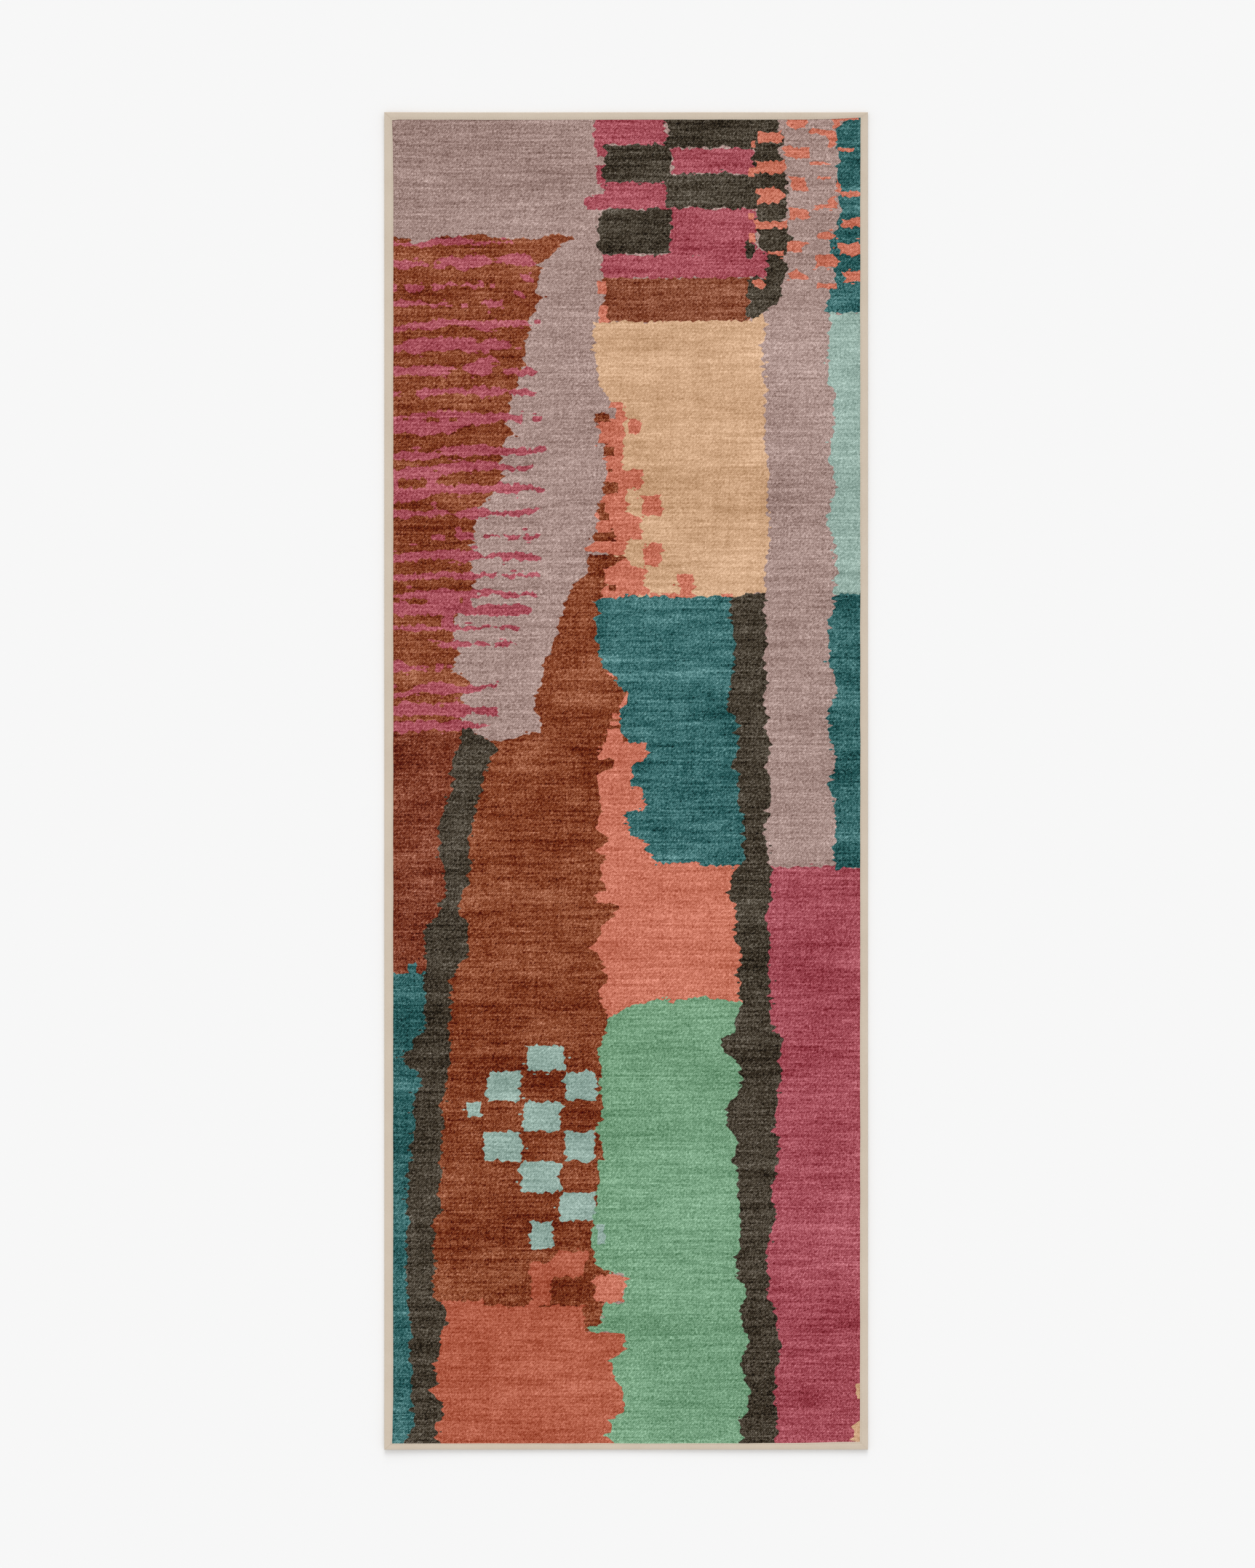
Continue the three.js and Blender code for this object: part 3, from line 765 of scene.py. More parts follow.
def strayDabs(dice, keep):
    dabs = []
    for dye, (left, top, right, bottom), count in strayPlan:
        for number in range(count):
            x, y = dice.uniform(left, right), dice.uniform(bottom, top)
            long = dice.uniform(*frayPlan["strayLength"])
            tall = dice.uniform(*frayPlan["strayHeight"])
            dabs.append((dye, lensOutline(x, y, long, tall, dice, keep)))
    return dabs


# The cloth's grid in millimetres, and its own map: its top as two halves side by side, and its
# underside squeezed into the strip beside them.
faceMeshPlan = {
    "gridStep": 14.0,
    "tuckedIn": 0.75,
    "mapMargin": 0.005,
    "topShare": 0.47,
    "underStart": 0.963,
    "underShare": 0.035,
}


def dyeNumbers(centres, outlines):
    # For each place, the number of the last outline painted over it.
    numbers = numpy.zeros(len(centres), dtype=int)
    for number, (dye, outline) in enumerate(outlines):
        start = numpy.array(outline)
        end = numpy.roll(start, -1, axis=0)
        inBox = (centres > start.min(axis=0)) & (centres < start.max(axis=0))
        near = numpy.all(inBox, axis=1).nonzero()[0]
        x, y = centres[near, 0][:, None], centres[near, 1][:, None]
        spans = (start[:, 1] > y) != (end[:, 1] > y)
        rise = end[:, 1] - start[:, 1]
        slope = (end[:, 0] - start[:, 0]) / numpy.where(rise == 0, 1, rise)
        crossings = numpy.sum(spans & (x < start[:, 0] + (y - start[:, 1]) * slope), axis=1)
        numbers[near[crossings % 2 == 1]] = number
    return numbers


def makeFaceMesh():
    tuckedIn = faceMeshPlan["tuckedIn"]
    keep = Vector((faceHigh[0] / mm - tuckedIn, faceHigh[1] / mm - tuckedIn))
    corners = [(-keep.x, -keep.y), (keep.x, -keep.y), (keep.x, keep.y), (-keep.x, keep.y)]
    outlines = [("mauve", corners)] + printOutlines(keep)
    points, edges = [], []
    for dye, outline in outlines:
        first, size = len(points), len(outline)
        edges.extend((first + i, first + (i + 1) % size) for i in range(size))
        points.extend(Vector(point) for point in outline)
    # Points between the colour changes, so that the cloth can follow how the rug lies.
    step = faceMeshPlan["gridStep"]
    columns = int(2 * keep.x / step)
    rows = int(2 * keep.y / step)
    for row in range(rows + 1):
        y = -keep.y + 2 * keep.y * row / rows
        for column in range(columns + 1):
            points.append(Vector((-keep.x + 2 * keep.x * column / columns, y)))
    # A seam across the middle for the two halves of the cloth's own map.
    edges.append((len(points), len(points) + 1))
    points.extend([Vector((-keep.x, 0)), Vector((keep.x, 0))])
    flat, _, triangles = delaunay_2d_cdt(points, edges, [], 0, 1e-5, False)[:3]
    places = numpy.array([(p.x, p.y) for p in flat])
    faces = [list(face) for face in triangles]
    numbers = dyeNumbers(places[numpy.array(faces)].mean(axis=1), outlines)
    count = len(flat)
    top = [(p.x * mm, p.y * mm, faceTop) for p in flat]
    bottom = [(p.x * mm, p.y * mm, faceLow[2]) for p in flat]
    edgeUses = {(a, b) for face in faces for a, b in zip(face, face[1:] + face[:1])}
    rim = sorted((a, b) for a, b in edgeUses if (b, a) not in edgeUses)
    under = [[count + i for i in reversed(face)] for face in faces]
    walls = [[b, a, count + a, count + b] for a, b in rim]
    mesh = bpy.data.meshes.new("face_cloth")
    mesh.from_pydata(top + bottom, [], faces + under + walls)
    dyeNames = [outlines[number][0] for number in numbers]
    paintDyes(mesh, dyeNames + dyeNames + ["mauve"] * len(walls), len(faces), keep)
    layOnFloor(mesh)
    mesh.update()
    print("face cloth:", len(outlines), "dyed outlines,", len(mesh.polygons), "faces")
    return mesh


def paintDyes(mesh, dyeNames, topCount, keep):
    colours = {dye: toned(tone) + (wear,) for dye, (tone, wear, yarnToneAndShade) in dyes.items()}
    dyeLayer = mesh.attributes.new("dye", "FLOAT_COLOR", "CORNER")
    # Each face keeps its dye's amount of yarn tone and painted weave shade.
    yarnToneAndShadeLayer = mesh.attributes.new("yarnToneAndShade", "FLOAT", "FACE")
    uvLayer = mesh.uv_layers.new(name="OFBake")
    fades = [fadeAt(vertex.co.x / mm, vertex.co.y / mm) for vertex in mesh.vertices]
    margin, topShare = faceMeshPlan["mapMargin"], faceMeshPlan["topShare"]
    mapTall = 1 - 2 * margin
    for polygon in mesh.polygons:
        isTop = polygon.index < topCount
        headHalf = polygon.center.y > 0
        name = dyeNames[polygon.index]
        red, green, blue, wear = colours[name]
        yarnToneAndShadeLayer.data[polygon.index].value = dyes[name][2]
        for corner in polygon.loop_indices:
            vertex = mesh.loops[corner].vertex_index
            fade = fades[vertex]
            dyeLayer.data[corner].color = (red + fade, green + fade, blue + fade, wear)
            place = mesh.vertices[vertex].co
            across = (place.x / mm + keep.x) / (2 * keep.x)
            if isTop:
                along = place.y / mm / keep.y
                along = along if headHalf else along + 1
                start = margin if headHalf else 2 * margin + topShare
                uvLayer.data[corner].uv = (start + across * topShare, margin + mapTall * along)
            else:
                along = (place.y / mm + keep.y) / (2 * keep.y)
                depth = 0 if place.z > (faceTop + faceLow[2]) / 2 else 0.2
                aside = faceMeshPlan["underStart"] + (across * 0.8 + depth) * faceMeshPlan["underShare"]
                uvLayer.data[corner].uv = (aside, margin + mapTall * along)


faceFinish = {
    "twillPitch": 2.5 * mm,
    "rowPitch": 6.4 * mm,
    "darkest": 0.02,
    "roughness": 0.93,
    "shine": 0.07,
    "fuzz": 0.02,
    "bumpStrength": 0.35,
    "bumpHeight": 0.3 * mm,
}


def printedClothMaterial():
    bench = Bench("printedCloth")
    dye = bench.add("ShaderNodeAttribute", {"attribute_name": "dye"}, {}, "Color")
    wear = bench.add("ShaderNodeAttribute", {"attribute_name": "dye"}, {}, "Alpha")
    yarnToneAndShade = bench.add("ShaderNodeAttribute", {"attribute_name": "yarnToneAndShade"}, {}, "Fac")
    x, y = bench.axis("X"), bench.axis("Y")
    slant = bench.add("ShaderNodeMapping", {}, {0: bench.place, "Rotation": (0, 0, math.radians(-45))})
    # Where the dye has worn pale: broad patches, worn rows, worn warps and small lumps.
    broad = bench.cloud(0.20, 0.08, 3.0) - 0.5
    patch = bench.cloud(0.050, 0.015, 5.0, 3.0) - 0.5
    slub = bench.cloud(0.030, 0.0050, 7.0, 2.0) - 0.5
    warp = bench.cloud(0.010, 0.17, 11.0, 3.0) - 0.5
    worn = broad * 1.45 + patch * 0.75 + slub * 0.65 + warp * 0.50
    # How single yarns differ from the next, partly their own tone and partly painted shade between them
    # and along the weave's hollows: twill floats that rise to the right, short lengths of weft and warp,
    # whole rows and whole warps, and the fine twill and row lines of the weave, whose light and shade are
    # painted into the colour.
    floats = bench.cloud(0.0036, 0.0017, 23.0, 2.0, 0.6, slant) - 0.5
    weft = bench.cloud(0.0040, 0.0015, 37.0, 1.0) - 0.5
    ends = bench.cloud(0.0015, 0.0040, 43.0, 1.0) - 0.5
    rows = bench.cloud(0.085, 0.0030, 53.0, 2.0) - 0.5
    warps = bench.cloud(0.0024, 0.050, 59.0, 2.0) - 0.5
    bend = bench.cloud(0.03, 0.03, 29.0)
    twill = bench.wave((x - y) * (2 * math.pi / (faceFinish["twillPitch"] * math.sqrt(2))) + bend * 2.5)
    row = bench.wave(y * (2 * math.pi / faceFinish["rowPitch"]) + bench.cloud(0.05, 0.02, 31.0) * 4.0)
    yarn = floats * 3.7 + weft * 2.2 + ends * 2.3 + rows * 2.1 + warps * 0.8 + twill * 0.80 + row * 0.08
    # The colour carries the yarns' own tone and also painted shade between the yarns and along the twill
    # and row lines.
    lit = bench.shift(dye, worn * wear + yarn * yarnToneAndShade)
    darkest = (faceFinish["darkest"],) * 3
    kept = bench.add("ShaderNodeVectorMath", {"operation": "MAXIMUM"}, {0: lit, 1: darkest})
    colour = bench.add("ShaderNodeGamma", {}, {0: kept, 1: 2.2})
    height = twill * 0.6 + floats * 0.5 + weft * 0.4 + ends * 0.4
    normal = bench.bump(height, faceFinish["bumpStrength"], faceFinish["bumpHeight"])
    return bench.finish({
        "Base Color": colour, "Roughness": faceFinish["roughness"], "Normal": normal,
        "Specular IOR Level": faceFinish["shine"], "Sheen Weight": faceFinish["fuzz"],
        "Sheen Roughness": 0.6})


# Felt and grip backing.
layerPlan = {"step": 22.0 * mm, "rim": 0.75 * mm}
feltFinish = {"dark": "a9a399", "pale": "c9c4ba", "roughness": 1.0, "shine": 0.1}
gripFinish = {"dark": "68635c", "pale": "837d74", "roughness": 0.62, "dusting": 0.18, "shine": 0.4}


def slabMesh(name, halfX, halfY, bottom, top):
    # A closed sheet with enough points across it to follow how the rug lies.
    columns = round(2 * halfX / layerPlan["step"])
    rows = round(2 * halfY / layerPlan["step"])
    points, faces = [], []
    for level in (bottom, top):
        for row in range(rows + 1):
            y = -halfY + 2 * halfY * row / rows
            for column in range(columns + 1):
                points.append((-halfX + 2 * halfX * column / columns, y, level))
    wide = columns + 1
    layer = wide * (rows + 1)
    for row in range(rows):
        for column in range(columns):
            a = row * wide + column
            faces.append((a, a + wide, a + wide + 1, a + 1))
            faces.append((layer + a, layer + a + 1, layer + a + wide + 1, layer + a + wide))
    ring = list(range(columns))
    ring += [row * wide + columns for row in range(rows)]
    ring += [rows * wide + column for column in range(columns, 0, -1)]
    ring += [row * wide for row in range(rows, 0, -1)]
    for a, b in zip(ring, ring[1:] + ring[:1]):
        faces.append((a, b, layer + b, layer + a))
    mesh = closedMesh(name, points, faces, smooth=False)
    layOnFloor(mesh)
    return mesh


def feltMaterial():
    bench = Bench("needledFelt")
    tuft = bench.cloud(0.004, 0.004, 2.0, 4.0, 0.7)
    patch = bench.cloud(0.05, 0.05, 5.0, 2.0)
    dark, pale = toLinear(feltFinish["dark"]), toLinear(feltFinish["pale"])
    colour = bench.blend(tuft * 0.7 + patch * 0.3, dark, pale)
    return bench.finish({
        "Base Color": colour, "Roughness": feltFinish["roughness"],
        "Normal": bench.bump(tuft, 0.5, 0.4 * mm), "Specular IOR Level": feltFinish["shine"]})


def gripMaterial():
    bench = Bench("gripRubber")
    speck = bench.cloud(0.0022, 0.0022, 4.0, 3.0, 0.6)
    dust = bench.cloud(0.11, 0.11, 9.0, 3.0)
    dark, pale = toLinear(gripFinish["dark"]), toLinear(gripFinish["pale"])
    colour = bench.blend(speck * 0.35 + dust * 0.45, dark, pale)
    return bench.finish({
        "Base Color": colour, "Roughness": gripFinish["roughness"] + dust * gripFinish["dusting"],
        "Normal": bench.bump(speck, 0.35, 0.15 * mm), "Specular IOR Level": gripFinish["shine"]})


# Geometry node trees.
class Grower:
    # A Geometry Nodes tree under construction, with named inputs.
    def __init__(self, name, inputs):
        self.tree = bpy.data.node_groups.new(name, "GeometryNodeTree")
        self.sockets = {}
        for label, kind, value in inputs:
            socket = self.tree.interface.new_socket(label, in_out="INPUT", socket_type=kind)
            if value is not None:
                socket.default_value = value
            self.sockets[label] = socket.identifier
        self.tree.interface.new_socket("Geometry", in_out="OUTPUT", socket_type="NodeSocketGeometry")
        self.source = self.tree.nodes.new("NodeGroupInput")

    def given(self, label):
        return self.source.outputs[label]

    def add(self, kind, settings, sockets, output=0):
        node = self.tree.nodes.new(kind)
        for setting, value in settings.items():
            setattr(node, setting, value)
        for name, value in sockets.items():
            if isinstance(value, bpy.types.NodeSocket):
                self.tree.links.new(value, node.inputs[name])
            else:
                node.inputs[name].default_value = value
        return node.outputs[output]

    def close(self, instances, material):
        real = self.add("GeometryNodeRealizeInstances", {}, {0: instances})
        painted = self.add("GeometryNodeSetMaterial", {}, {0: real, "Material": material})
        output = self.tree.nodes.new("NodeGroupOutput")
        self.tree.links.new(painted, output.inputs[0])

    def grow(self, name, values):
        # Runs the tree with these values and keeps only the plain mesh that it makes.
        holder = bpy.data.objects.new(name + "_grower", bpy.data.meshes.new(name + "_seed"))
        scene.collection.objects.link(holder)
        modifier = holder.modifiers.new("grow", "NODES")
        modifier.node_group = self.tree
        for label, value in values.items():
            modifier[self.sockets[label]] = value
        graph = bpy.context.evaluated_depsgraph_get()
        mesh = bpy.data.meshes.new_from_object(holder.evaluated_get(graph))
        mesh.name = name
        holder.modifiers.remove(modifier)
        bpy.data.objects.remove(holder)
        return mesh


gripPlan = {
    "pitch": 14.5 * mm,
    "dotRadius": 2.6 * mm,
    "dotCrown": 1.7 * mm,
    "dotSides": 9,
    "margin": 4 * mm,
}


def gripDotTree():
    grower = Grower("gripDots", [
        ("Width", "NodeSocketFloat", 0.7), ("Length", "NodeSocketFloat", 2.0),
        ("Columns", "NodeSocketInt", 40), ("Rows", "NodeSocketInt", 100),
        ("Shift", "NodeSocketFloat", 0.003), ("Height", "NodeSocketFloat", 0.001),
        ("Material", "NodeSocketMaterial", None)])
    grid = grower.add("GeometryNodeMeshGrid", {}, {
        "Size X": grower.given("Width"), "Size Y": grower.given("Length"),
        "Vertices X": grower.given("Columns"), "Vertices Y": grower.given("Rows")})
    # Every second row steps sideways by half a pitch.
    index = grower.add("GeometryNodeInputIndex", {}, {})
    row = grower.add("ShaderNodeMath", {"operation": "MODULO"}, {0: index, 1: grower.given("Rows")})
    parity = grower.add("ShaderNodeMath", {"operation": "MODULO"}, {0: row, 1: 2.0})
    side = grower.add("ShaderNodeMath", {"operation": "MULTIPLY_ADD"}, {0: parity, 1: 2.0, 2: -1.0})
    stepX = grower.add("ShaderNodeMath", {"operation": "MULTIPLY"}, {0: side, 1: grower.given("Shift")})
    offset = grower.add("ShaderNodeCombineXYZ", {}, {0: stepX})
    dots = grower.add("GeometryNodeSetPosition", {}, {0: grid, "Offset": offset})
    dot = grower.add("GeometryNodeMeshCone", {"fill_type": "NGON"}, {
        "Vertices": gripPlan["dotSides"], "Radius Top": gripPlan["dotRadius"],
        "Radius Bottom": gripPlan["dotCrown"], "Depth": grower.given("Height")})
    instances = grower.add("GeometryNodeInstanceOnPoints", {}, {0: dots, "Instance": dot})
    grower.close(instances, grower.given("Material"))
    return grower


stitchPlan = {
    "pitch": 3.4 * mm,
    "length": 2.75 * mm,
    "thread": 0.21 * mm,
    "rise": 0.30 * mm,
    "dip": 0.22 * mm,
    "wander": 0.07 * mm,
    "twist": 0.06,
    "underRise": 0.45,
    "endGap": 0.9 * mm,
    "seed": 5,
}


def stitchRowTree():
    grower = Grower("stitchRow", [
        ("Start", "NodeSocketVector", None), ("End", "NodeSocketVector", None),
        ("Pitch", "NodeSocketFloat", 0.003), ("Thread", "NodeSocketFloat", 0.0002),
        ("Stitch Start", "NodeSocketVector", None), ("Stitch Top", "NodeSocketVector", None),
        ("Stitch End", "NodeSocketVector", None), ("Wander", "NodeSocketVector", None),
        ("Twist", "NodeSocketVector", None), ("Seed", "NodeSocketInt", 5),
        ("Material", "NodeSocketMaterial", None)])
    line = grower.add("GeometryNodeCurvePrimitiveLine", {},
                      {0: grower.given("Start"), 1: grower.given("End")})
    points = grower.add("GeometryNodeCurveToPoints", {"mode": "LENGTH"},
                        {0: line, "Length": grower.given("Pitch")})
    low = grower.add("ShaderNodeVectorMath", {"operation": "SCALE"},
                     {0: grower.given("Wander"), "Scale": -1.0})
    wander = grower.add("FunctionNodeRandomValue", {"data_type": "FLOAT_VECTOR"},
                        {0: low, 1: grower.given("Wander"), "Seed": grower.given("Seed")})
    points = grower.add("GeometryNodeSetPosition", {}, {0: points, "Offset": wander})
    arc = grower.add("GeometryNodeCurveQuadraticBezier", {}, {
        "Resolution": 5, "Start": grower.given("Stitch Start"), "Middle": grower.given("Stitch Top"),
        "End": grower.given("Stitch End")})
    section = grower.add("GeometryNodeCurvePrimitiveCircle", {},
                         {"Resolution": 6, "Radius": grower.given("Thread")})
    stitch = grower.add("GeometryNodeCurveToMesh", {}, {0: arc, 1: section, "Fill Caps": True})
    back = grower.add("ShaderNodeVectorMath", {"operation": "SCALE"},
                      {0: grower.given("Twist"), "Scale": -1.0})
    twist = grower.add("FunctionNodeRandomValue", {"data_type": "FLOAT_VECTOR"},
                       {0: back, 1: grower.given("Twist"), "Seed": grower.given("Seed")})
    turned = grower.add("FunctionNodeEulerToRotation", {}, {0: twist})
    instances = grower.add("GeometryNodeInstanceOnPoints", {},
                           {0: points, "Instance": stitch, "Rotation": turned})
    grower.close(instances, grower.given("Material"))
    return grower


# The binding.
# lapDrift says how the tape's inner edge wanders: pairs of a share of the run and millimetres inwards.
bindingPlan = {
    "step": 5.0 * mm,
    "fold": 1.7 * mm,
    "squareness": 0.7,
    "puff": 0.10 * mm,
    "dimple": 0.22 * mm,
    "edgeWander": 0.30 * mm,
    "mitreGap": 0.01 * mm,
    "creaseDepth": 0.12 * mm,
    "creaseReach": 1.1 * mm,
    "gather": 0.05 * mm,
    "lapDrift": {
        "right": [(0, 0.4), (0.03, 0.0), (0.45, -0.5), (0.9, -0.3), (1, -0.9)],
        "head": [(0, -2.9), (0.05, -1.2), (0.12, -0.2), (0.5, 0.1), (0.985, 0.2), (1, 1.4)],
        "left": [(0, 0.0), (0.02, 1.3), (0.1, 1.7), (0.5, 1.5), (0.975, 1.4), (0.995, 0.3), (1, -0.3)],
        "foot": [(0, 0.0), (0.55, -0.2), (0.86, 0.4), (0.95, 2.0), (1, 2.7)],
    },
}


def sideFacts(name, turn, reach, halfRun):
    low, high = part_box("binding_tape_" + name)
    lap = min(high[0] - low[0], high[1] - low[1])
    threadLow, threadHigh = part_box("needle_thread_" + name)
    centre = (Vector(threadLow) + Vector(threadHigh)) / 2
    across = abs(centre.x) if name in ("left", "right") else abs(centre.y)
    back = Vector((math.cos(-turn), math.sin(-turn)))
    ends = []
    for corner in (threadLow, threadHigh):
        ends.append(corner[0] * back.y + corner[1] * back.x)
    return {"name": name, "turn": turn, "reach": reach, "halfRun": halfRun, "lap": lap,
            "seam": reach - across, "seamFrom": min(ends), "seamTo": max(ends)}


def driftOfLap(side, along):
    # The inner edge's wander at a place on the run, in metres, positive inwards.
    share = (along + side["halfRun"]) / (2 * side["halfRun"])
    stops = bindingPlan["lapDrift"][side["name"]]
    drift = stops[-1][1]
    for (a, low), (b, high) in zip(stops, stops[1:]):
        if share <= b:
            drift = low + (high - low) * max(0.0, share - a) / (b - a)
            break
    ripple = noise.noise(Vector((along / 0.045, side["turn"] * 7.3, 0.4)))
    return drift * mm + bindingPlan["edgeWander"] * 1.6 * ripple


def lapAtEnd(side, along):
    return side["lap"] + driftOfLap(side, along)


def tapeSection(side):
    # The folded tape seen end on: pairs of the distance in from the rug's edge and the level.
    # It runs from the upper inner edge round the fold to the lower inner edge, then back inside.
    lap, seam = side["lap"], side["seam"]
    middle = (tapeTop + tapeBottom) / 2
    tall = (tapeTop - tapeBottom) / 2
    fold, thick = bindingPlan["fold"], tapeThickness
    puff, dimple = bindingPlan["puff"], bindingPlan["dimple"]
    between = (seam + fold) / 2
    upper = [(lap, faceTop + thick * 0.35), (lap - 0.10 * mm, faceTop + thick * 0.75),
             (lap - 0.45 * mm, faceTop + thick)]
    upper += [(seam + 0.8 * mm, tapeTop), (seam + 0.3 * mm, tapeTop - dimple * 0.7),
              (seam, tapeTop - dimple), (seam - 0.3 * mm, tapeTop - dimple * 0.7),
              (seam - 0.9 * mm, tapeTop + puff * 0.5), (between, tapeTop + puff)]
    turn = []
    square = bindingPlan["squareness"]
    for i in range(13):
        sine, cosine = math.sin(math.pi * i / 12), math.cos(math.pi * i / 12)
        turn.append((fold - fold * sine ** square,
                     middle + tall * math.copysign(abs(cosine) ** square, cosine)))
    lower = [(between, tapeBottom), (seam - 0.8 * mm, tapeBottom), (seam, tapeBottom + dimple * 0.6),
             (seam + 0.8 * mm, tapeBottom), (lap - 0.4 * mm, tapeBottom), (lap, tapeBottom + thick * 0.4),
             (lap, tapeBottom + thick)]
    inner = [(fold - (fold - thick) * math.sin(math.pi * i / 8),
              middle - (tall - thick) * math.cos(math.pi * i / 8)) for i in range(9)]
    return upper + turn + lower + inner + [(lap, faceTop)]


def runStations(side):
    # Places along the run as shares of it, closer together at the two mitres.
    count = round(2 * side["halfRun"] / bindingPlan["step"])
    close = [near * mm / (2 * side["halfRun"]) for near in (0, 0.35, 0.8, 1.4, 2.2, 3.4)]
    even = [i / count for i in range(1, count)]
    return close + even + [1 - share for share in reversed(close)]


def turned(points, turn):
    cosine, sine = math.cos(turn), math.sin(turn)
    return [(x * cosine - y * sine, x * sine + y * cosine, z) for x, y, z in points]


def tapeMesh(side, previousSide, nextSide):
    # Each mitre runs from the outer corner to where the two inner edges meet.
    section = tapeSection(side)
    stations = runStations(side)
    half = side["halfRun"]
    fold, gap = bindingPlan["fold"], bindingPlan["mitreGap"]
    startDrift, endDrift = driftOfLap(side, -half), driftOfLap(side, half)
    previousLap = lapAtEnd(previousSide, previousSide["halfRun"])
    nextLap = lapAtEnd(nextSide, -nextSide["halfRun"])
    startSlope = previousLap / lapAtEnd(side, -half)
    endSlope = nextLap / lapAtEnd(side, half)
    points = []
    for share in stations:
        for number, (inward, level) in enumerate(section):
            onTop = level > (tapeTop + tapeBottom) / 2
            nearInnerEdge = max(0.0, min(1.0, (inward - fold) / (side["seam"] - fold)))
            grown = nearInnerEdge * onTop
            start = half - gap - (inward + grown * startDrift) * startSlope
            end = half - gap - (inward + grown * endDrift) * endSlope
            along = -start + (start + end) * share
            # The creases at the mitres, and the little gathers that the stitches draw up.
            fromEnd = min(along + start, end - along) / bindingPlan["creaseReach"]
            if level > faceTop + tapeThickness * 0.5:
                level -= bindingPlan["creaseDepth"] * math.exp(-fromEnd * fromEnd)
                gather = noise.noise(Vector((along / 0.006, inward / 0.004, side["turn"])))
                level += bindingPlan["gather"] * gather
            edgeAlong = -half + 2 * half * share
            points.append((side["reach"] - inward - grown * driftOfLap(side, edgeAlong), along, level))
    size = len(section)
    faces = []
    for ring in range(len(stations) - 1):
        for i in range(size):
            a, b = ring * size + i, ring * size + (i + 1) % size
            faces.append((a, b, b + size, a + size))
    last = (len(stations) - 1) * size
    faces.append(tuple(range(size - 1, -1, -1)))
    faces.append(tuple(range(last, last + size)))
    mesh = closedMesh("binding_tape_" + side["name"], turned(points, side["turn"]), faces)
    layOnFloor(mesh)
    return mesh


def stitchMesh(name, tree, side, material, above):
    plan = stitchPlan
    dimple = bindingPlan["dimple"]
    surface = tapeTop - dimple * 0.75 if above else tapeBottom + dimple * 0.45
    up = 1 if above else -1
    rise = plan["rise"] if above else plan["rise"] * plan["underRise"]
    x = side["reach"] - side["seam"]
    gap = plan["endGap"]
    mesh = tree.grow(name, {
        "Start": (x, side["seamFrom"] + gap, surface), "End": (x, side["seamTo"] - gap, surface),
        "Pitch": plan["pitch"], "Thread": plan["thread"],
        "Stitch Start": (0.02 * mm, -plan["length"] / 2, -up * plan["dip"]),
        "Stitch Top": (0, 0, up * rise * 2),
        "Stitch End": (-0.02 * mm, plan["length"] / 2, -up * plan["dip"]),
        "Wander": (plan["wander"], plan["wander"], 0), "Twist": (0, 0, plan["twist"]),
        "Seed": plan["seed"] + round(10 * side["turn"]), "Material": material})
    # The upper seam keeps its distance from the tape's wandering inner edge.
    points = []
    for vertex in mesh.vertices:
        drift = driftOfLap(side, vertex.co.y) if above else 0.0
        points.append((vertex.co.x - drift, vertex.co.y, vertex.co.z))
    for vertex, place in zip(mesh.vertices, turned(points, side["turn"])):
        vertex.co = place
    mesh.shade_smooth()
    layOnFloor(mesh)
    return mesh


tackPlan = {
    "pitch": 1.9 * mm,
    "span": 1.7 * mm,
    "thread": 0.2 * mm,
    "rise": 0.16 * mm,
    "drop": 0.16 * mm,
    "wander": 0.05 * mm,
    "twist": 0.12,
    "share": 0.9,
    "seed": 3,
}


def tackMesh(name, tree, material):
    # Small overhand stitches square across the mitre, set out along the crease.
    low, high = (Vector(corner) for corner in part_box(name))
    middle = (low + high) / 2
    outward = Vector((math.copysign(high.x - low.x, middle.x),
                      math.copysign(high.y - low.y, middle.y), 0))
    half = outward * 0.5 * tackPlan["share"]
    across = Vector((-outward.y, outward.x, 0)).normalized() * tackPlan["span"] / 2
    level = Vector((0, 0, tapeTop - middle.z - bindingPlan["creaseDepth"] * 0.5))
    drop = Vector((0, 0, -tackPlan["drop"]))
    mesh = tree.grow(name, {
        "Start": middle - half + level, "End": middle + half + level, "Pitch": tackPlan["pitch"],
        "Thread": tackPlan["thread"], "Stitch Start": drop - across,
        "Stitch Top": Vector((0, 0, 2 * tackPlan["rise"] + tackPlan["drop"])),
        "Stitch End": drop + across, "Wander": (tackPlan["wander"], tackPlan["wander"], 0),
        "Twist": (0, 0, tackPlan["twist"]), "Seed": tackPlan["seed"], "Material": material})
    mesh.shade_smooth()
    layOnFloor(mesh)
    return mesh


tapeFinish = {
    "tone": "cfc0ae",
    "shade": "bfae9a",
    "pale": "ddd1c1",
    "ribPitch": 1.1 * mm,
    "roughness": 0.88,
    "shine": 0.15,
    "fuzz": 0.05,
}
threadFinish = {"dark": "c3b39d", "pale": "d5c8b5", "roughness": 0.62, "shine": 0.3}


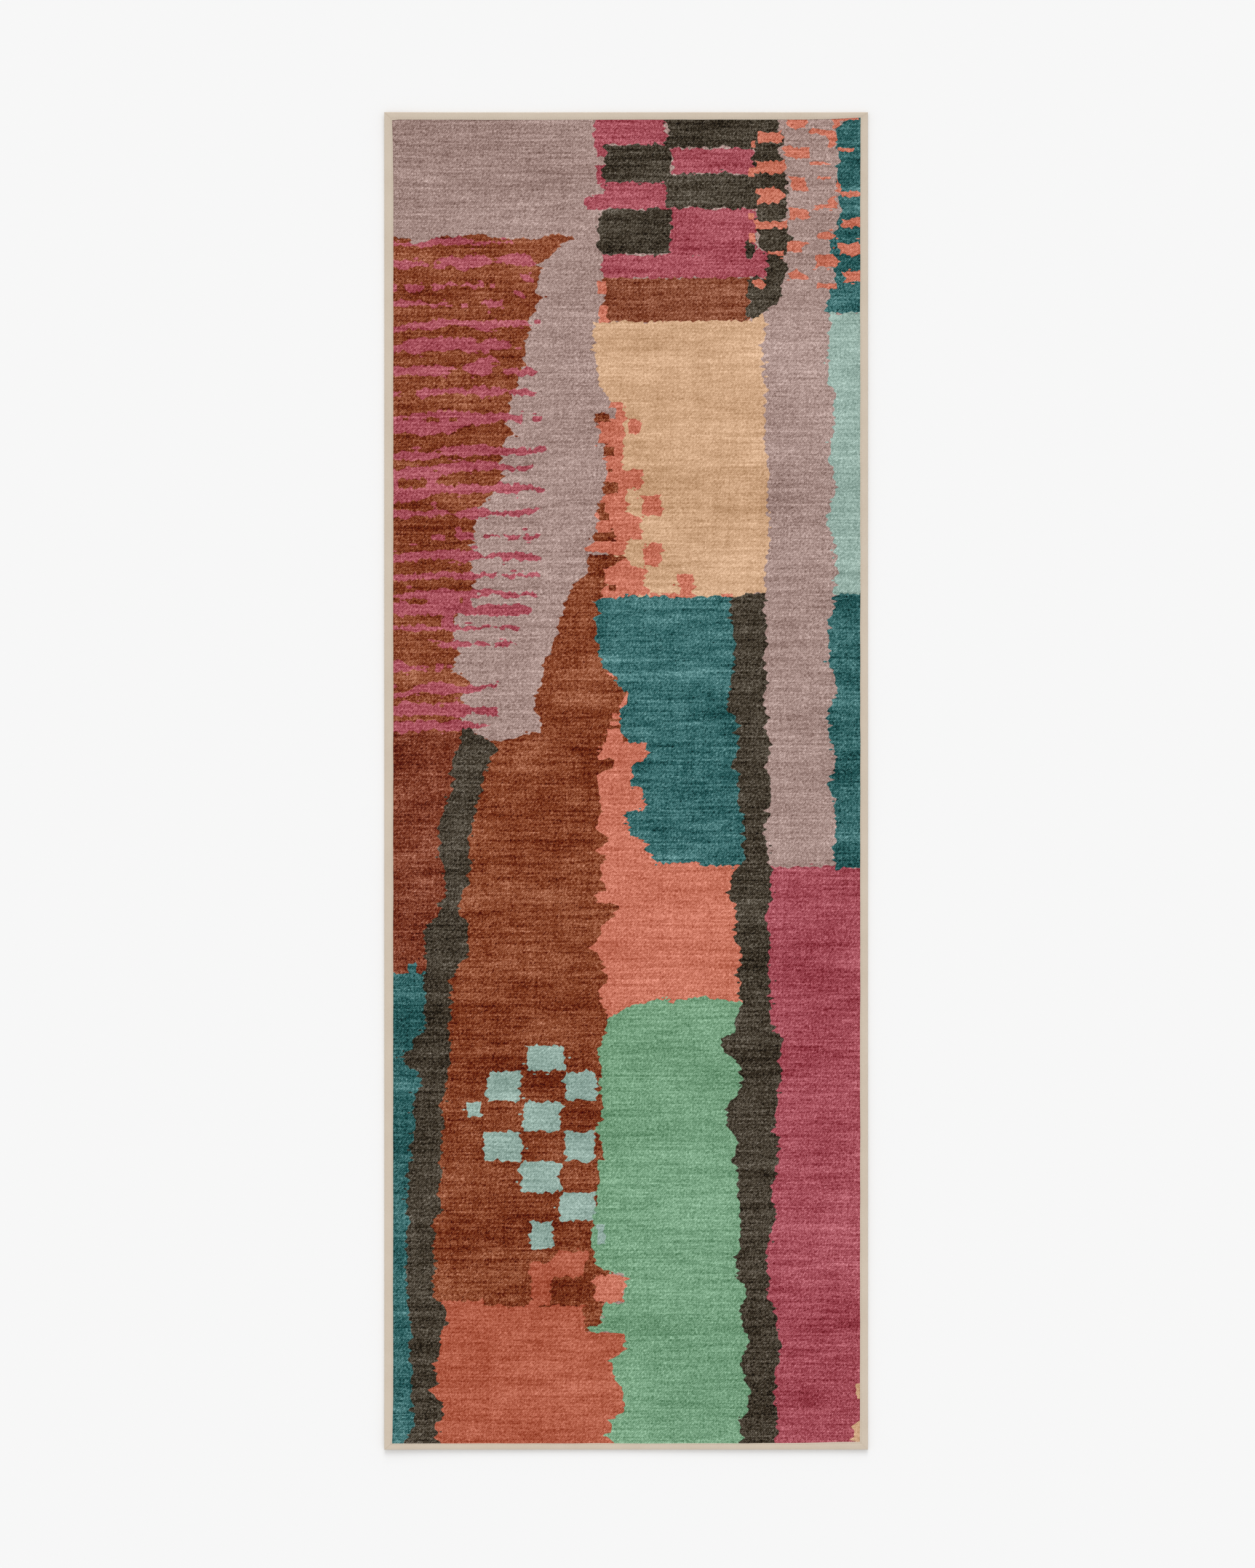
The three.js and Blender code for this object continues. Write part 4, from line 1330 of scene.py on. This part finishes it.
def tapeMaterial():
    bench = Bench("bindingTape")
    x, y = bench.axis("X"), bench.axis("Y")
    yarn = bench.cloud(0.0016, 0.0016, 6.0, 2.0, 0.6)
    soil = bench.cloud(0.06, 0.06, 12.0, 3.0)
    bend = bench.cloud(0.02, 0.02, 19.0)
    rib = bench.wave((x + y) * (2 * math.pi / tapeFinish["ribPitch"]) + bend * 2.0)
    ground = bench.blend(soil * 0.5, toLinear(tapeFinish["tone"]), toLinear(tapeFinish["shade"]))
    colour = bench.blend((yarn * 0.6 + rib * 0.2 + 0.1) * 0.45, ground, toLinear(tapeFinish["pale"]))
    return bench.finish({
        "Base Color": colour, "Roughness": tapeFinish["roughness"],
        "Normal": bench.bump(rib * 0.5 + yarn, 0.4, 0.12 * mm),
        "Specular IOR Level": tapeFinish["shine"], "Sheen Weight": tapeFinish["fuzz"]})


def threadMaterial():
    bench = Bench("sewingThread")
    ply = bench.cloud(0.0007, 0.0007, 8.0, 2.0)
    colour = bench.blend(ply, toLinear(threadFinish["dark"]), toLinear(threadFinish["pale"]))
    return bench.finish({
        "Base Color": colour, "Roughness": threadFinish["roughness"],
        "Normal": bench.bump(ply, 0.3, 0.05 * mm), "Specular IOR Level": threadFinish["shine"]})


# Making the rug.
def makeFloor():
    bench = Bench("paleFloor")
    half = lightSetup["floorSize"] / 2
    mesh = bpy.data.meshes.new("floor")
    corners = [(-half, -half, 0), (half, -half, 0), (half, half, 0), (-half, half, 0)]
    mesh.from_pydata(corners, [], [(0, 1, 2, 3)])
    tone = lightSetup["floorTone"]
    mesh.materials.append(bench.finish({
        "Base Color": (tone, tone, tone, 1), "Roughness": 1.0, "Specular IOR Level": 0.0}))
    floor = bpy.data.objects.new("floor", mesh)
    scene.collection.objects.link(floor)


def makeLayers():
    tuck = layerPlan["rim"]
    felt = addPiece(
        "cushion_felt_sheet",
        slabMesh("cushion_felt", feltHigh[0] - tuck, feltHigh[1] - tuck, feltLow[2], feltHigh[2]),
        feltMaterial(), "cushion", "cushion_felt")
    rubber = gripMaterial()
    backing = addPiece(
        "grip_backing_sheet",
        slabMesh("grip_backing", gripHigh[0] - tuck, gripHigh[1] - tuck, backingBottom, gripHigh[2]),
        rubber, "backing", "grip_backing")
    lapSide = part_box("binding_tape_left")[1][0] + halfWidth
    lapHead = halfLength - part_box("binding_tape_head")[0][1]
    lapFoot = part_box("binding_tape_foot")[1][1] + halfLength
    margin = gripPlan["margin"]
    width = 2 * (halfWidth - lapSide - margin)
    length = 2 * halfLength - lapHead - lapFoot - 2 * margin
    dotMesh = gripDotTree().grow("grip_dots", {
        "Width": width - gripPlan["pitch"] / 2, "Length": length,
        "Columns": round(width / gripPlan["pitch"]), "Rows": round(length / gripPlan["pitch"]) | 1,
        "Shift": gripPlan["pitch"] / 4, "Height": backingBottom, "Material": rubber})
    for vertex in dotMesh.vertices:
        vertex.co.y += (lapFoot - lapHead) / 2
    layOnFloor(dotMesh)
    addPiece("grip_backing_dots", dotMesh, rubber, "backing", "grip_backing")
    print("felt and grip backing:", len(dotMesh.polygons), "dot faces")
    return felt


def makeFace():
    face = addPiece("face_cloth_printed", makeFaceMesh(), printedClothMaterial(), "face", "face_cloth")
    return face


def makeBinding():
    tape, thread, stitches = tapeMaterial(), threadMaterial(), stitchRowTree()
    sides = [
        sideFacts("right", 0, halfWidth, halfLength),
        sideFacts("head", math.pi / 2, halfLength, halfWidth),
        sideFacts("left", math.pi, halfWidth, halfLength),
        sideFacts("foot", -math.pi / 2, halfLength, halfWidth),
    ]
    for number, side in enumerate(sides):
        name = side["name"]
        tapeStrip = tapeMesh(side, sides[number - 1], sides[(number + 1) % 4])
        piece = addPiece("tape_" + name, tapeStrip, tape, "tape", "binding_tape_" + name)
        needleMesh = stitchMesh("needle_stitches_" + name, stitches, side, thread, True)
        needle = addPiece("needle_stitches_" + name, needleMesh, thread, "thread", "needle_thread_" + name)
        bobbinMesh = stitchMesh("bobbin_stitches_" + name, stitches, side, thread, False)
        bobbin = addPiece("bobbin_stitches_" + name, bobbinMesh, thread, "thread", "bobbin_thread_" + name)
        foldRun = math.pi * ((tapeTop - tapeBottom - tapeThickness) / 2 + bindingPlan["fold"]) / 2
        tapeWidth = 2 * (side["lap"] - bindingPlan["fold"]) + foldRun
        2 * side["halfRun"]
    for corner in ("head_right", "head_left", "foot_left", "foot_right"):
        name = "mitre_tack_" + corner
        addPiece(name + "_stitches", tackMesh(name, stitches, thread), thread, "thread", name)
    print("binding and stitching done")


makeCamera()
makeLight()
makeFloor()
feltPiece = makeLayers()
facePiece = makeFace()
makeBinding()
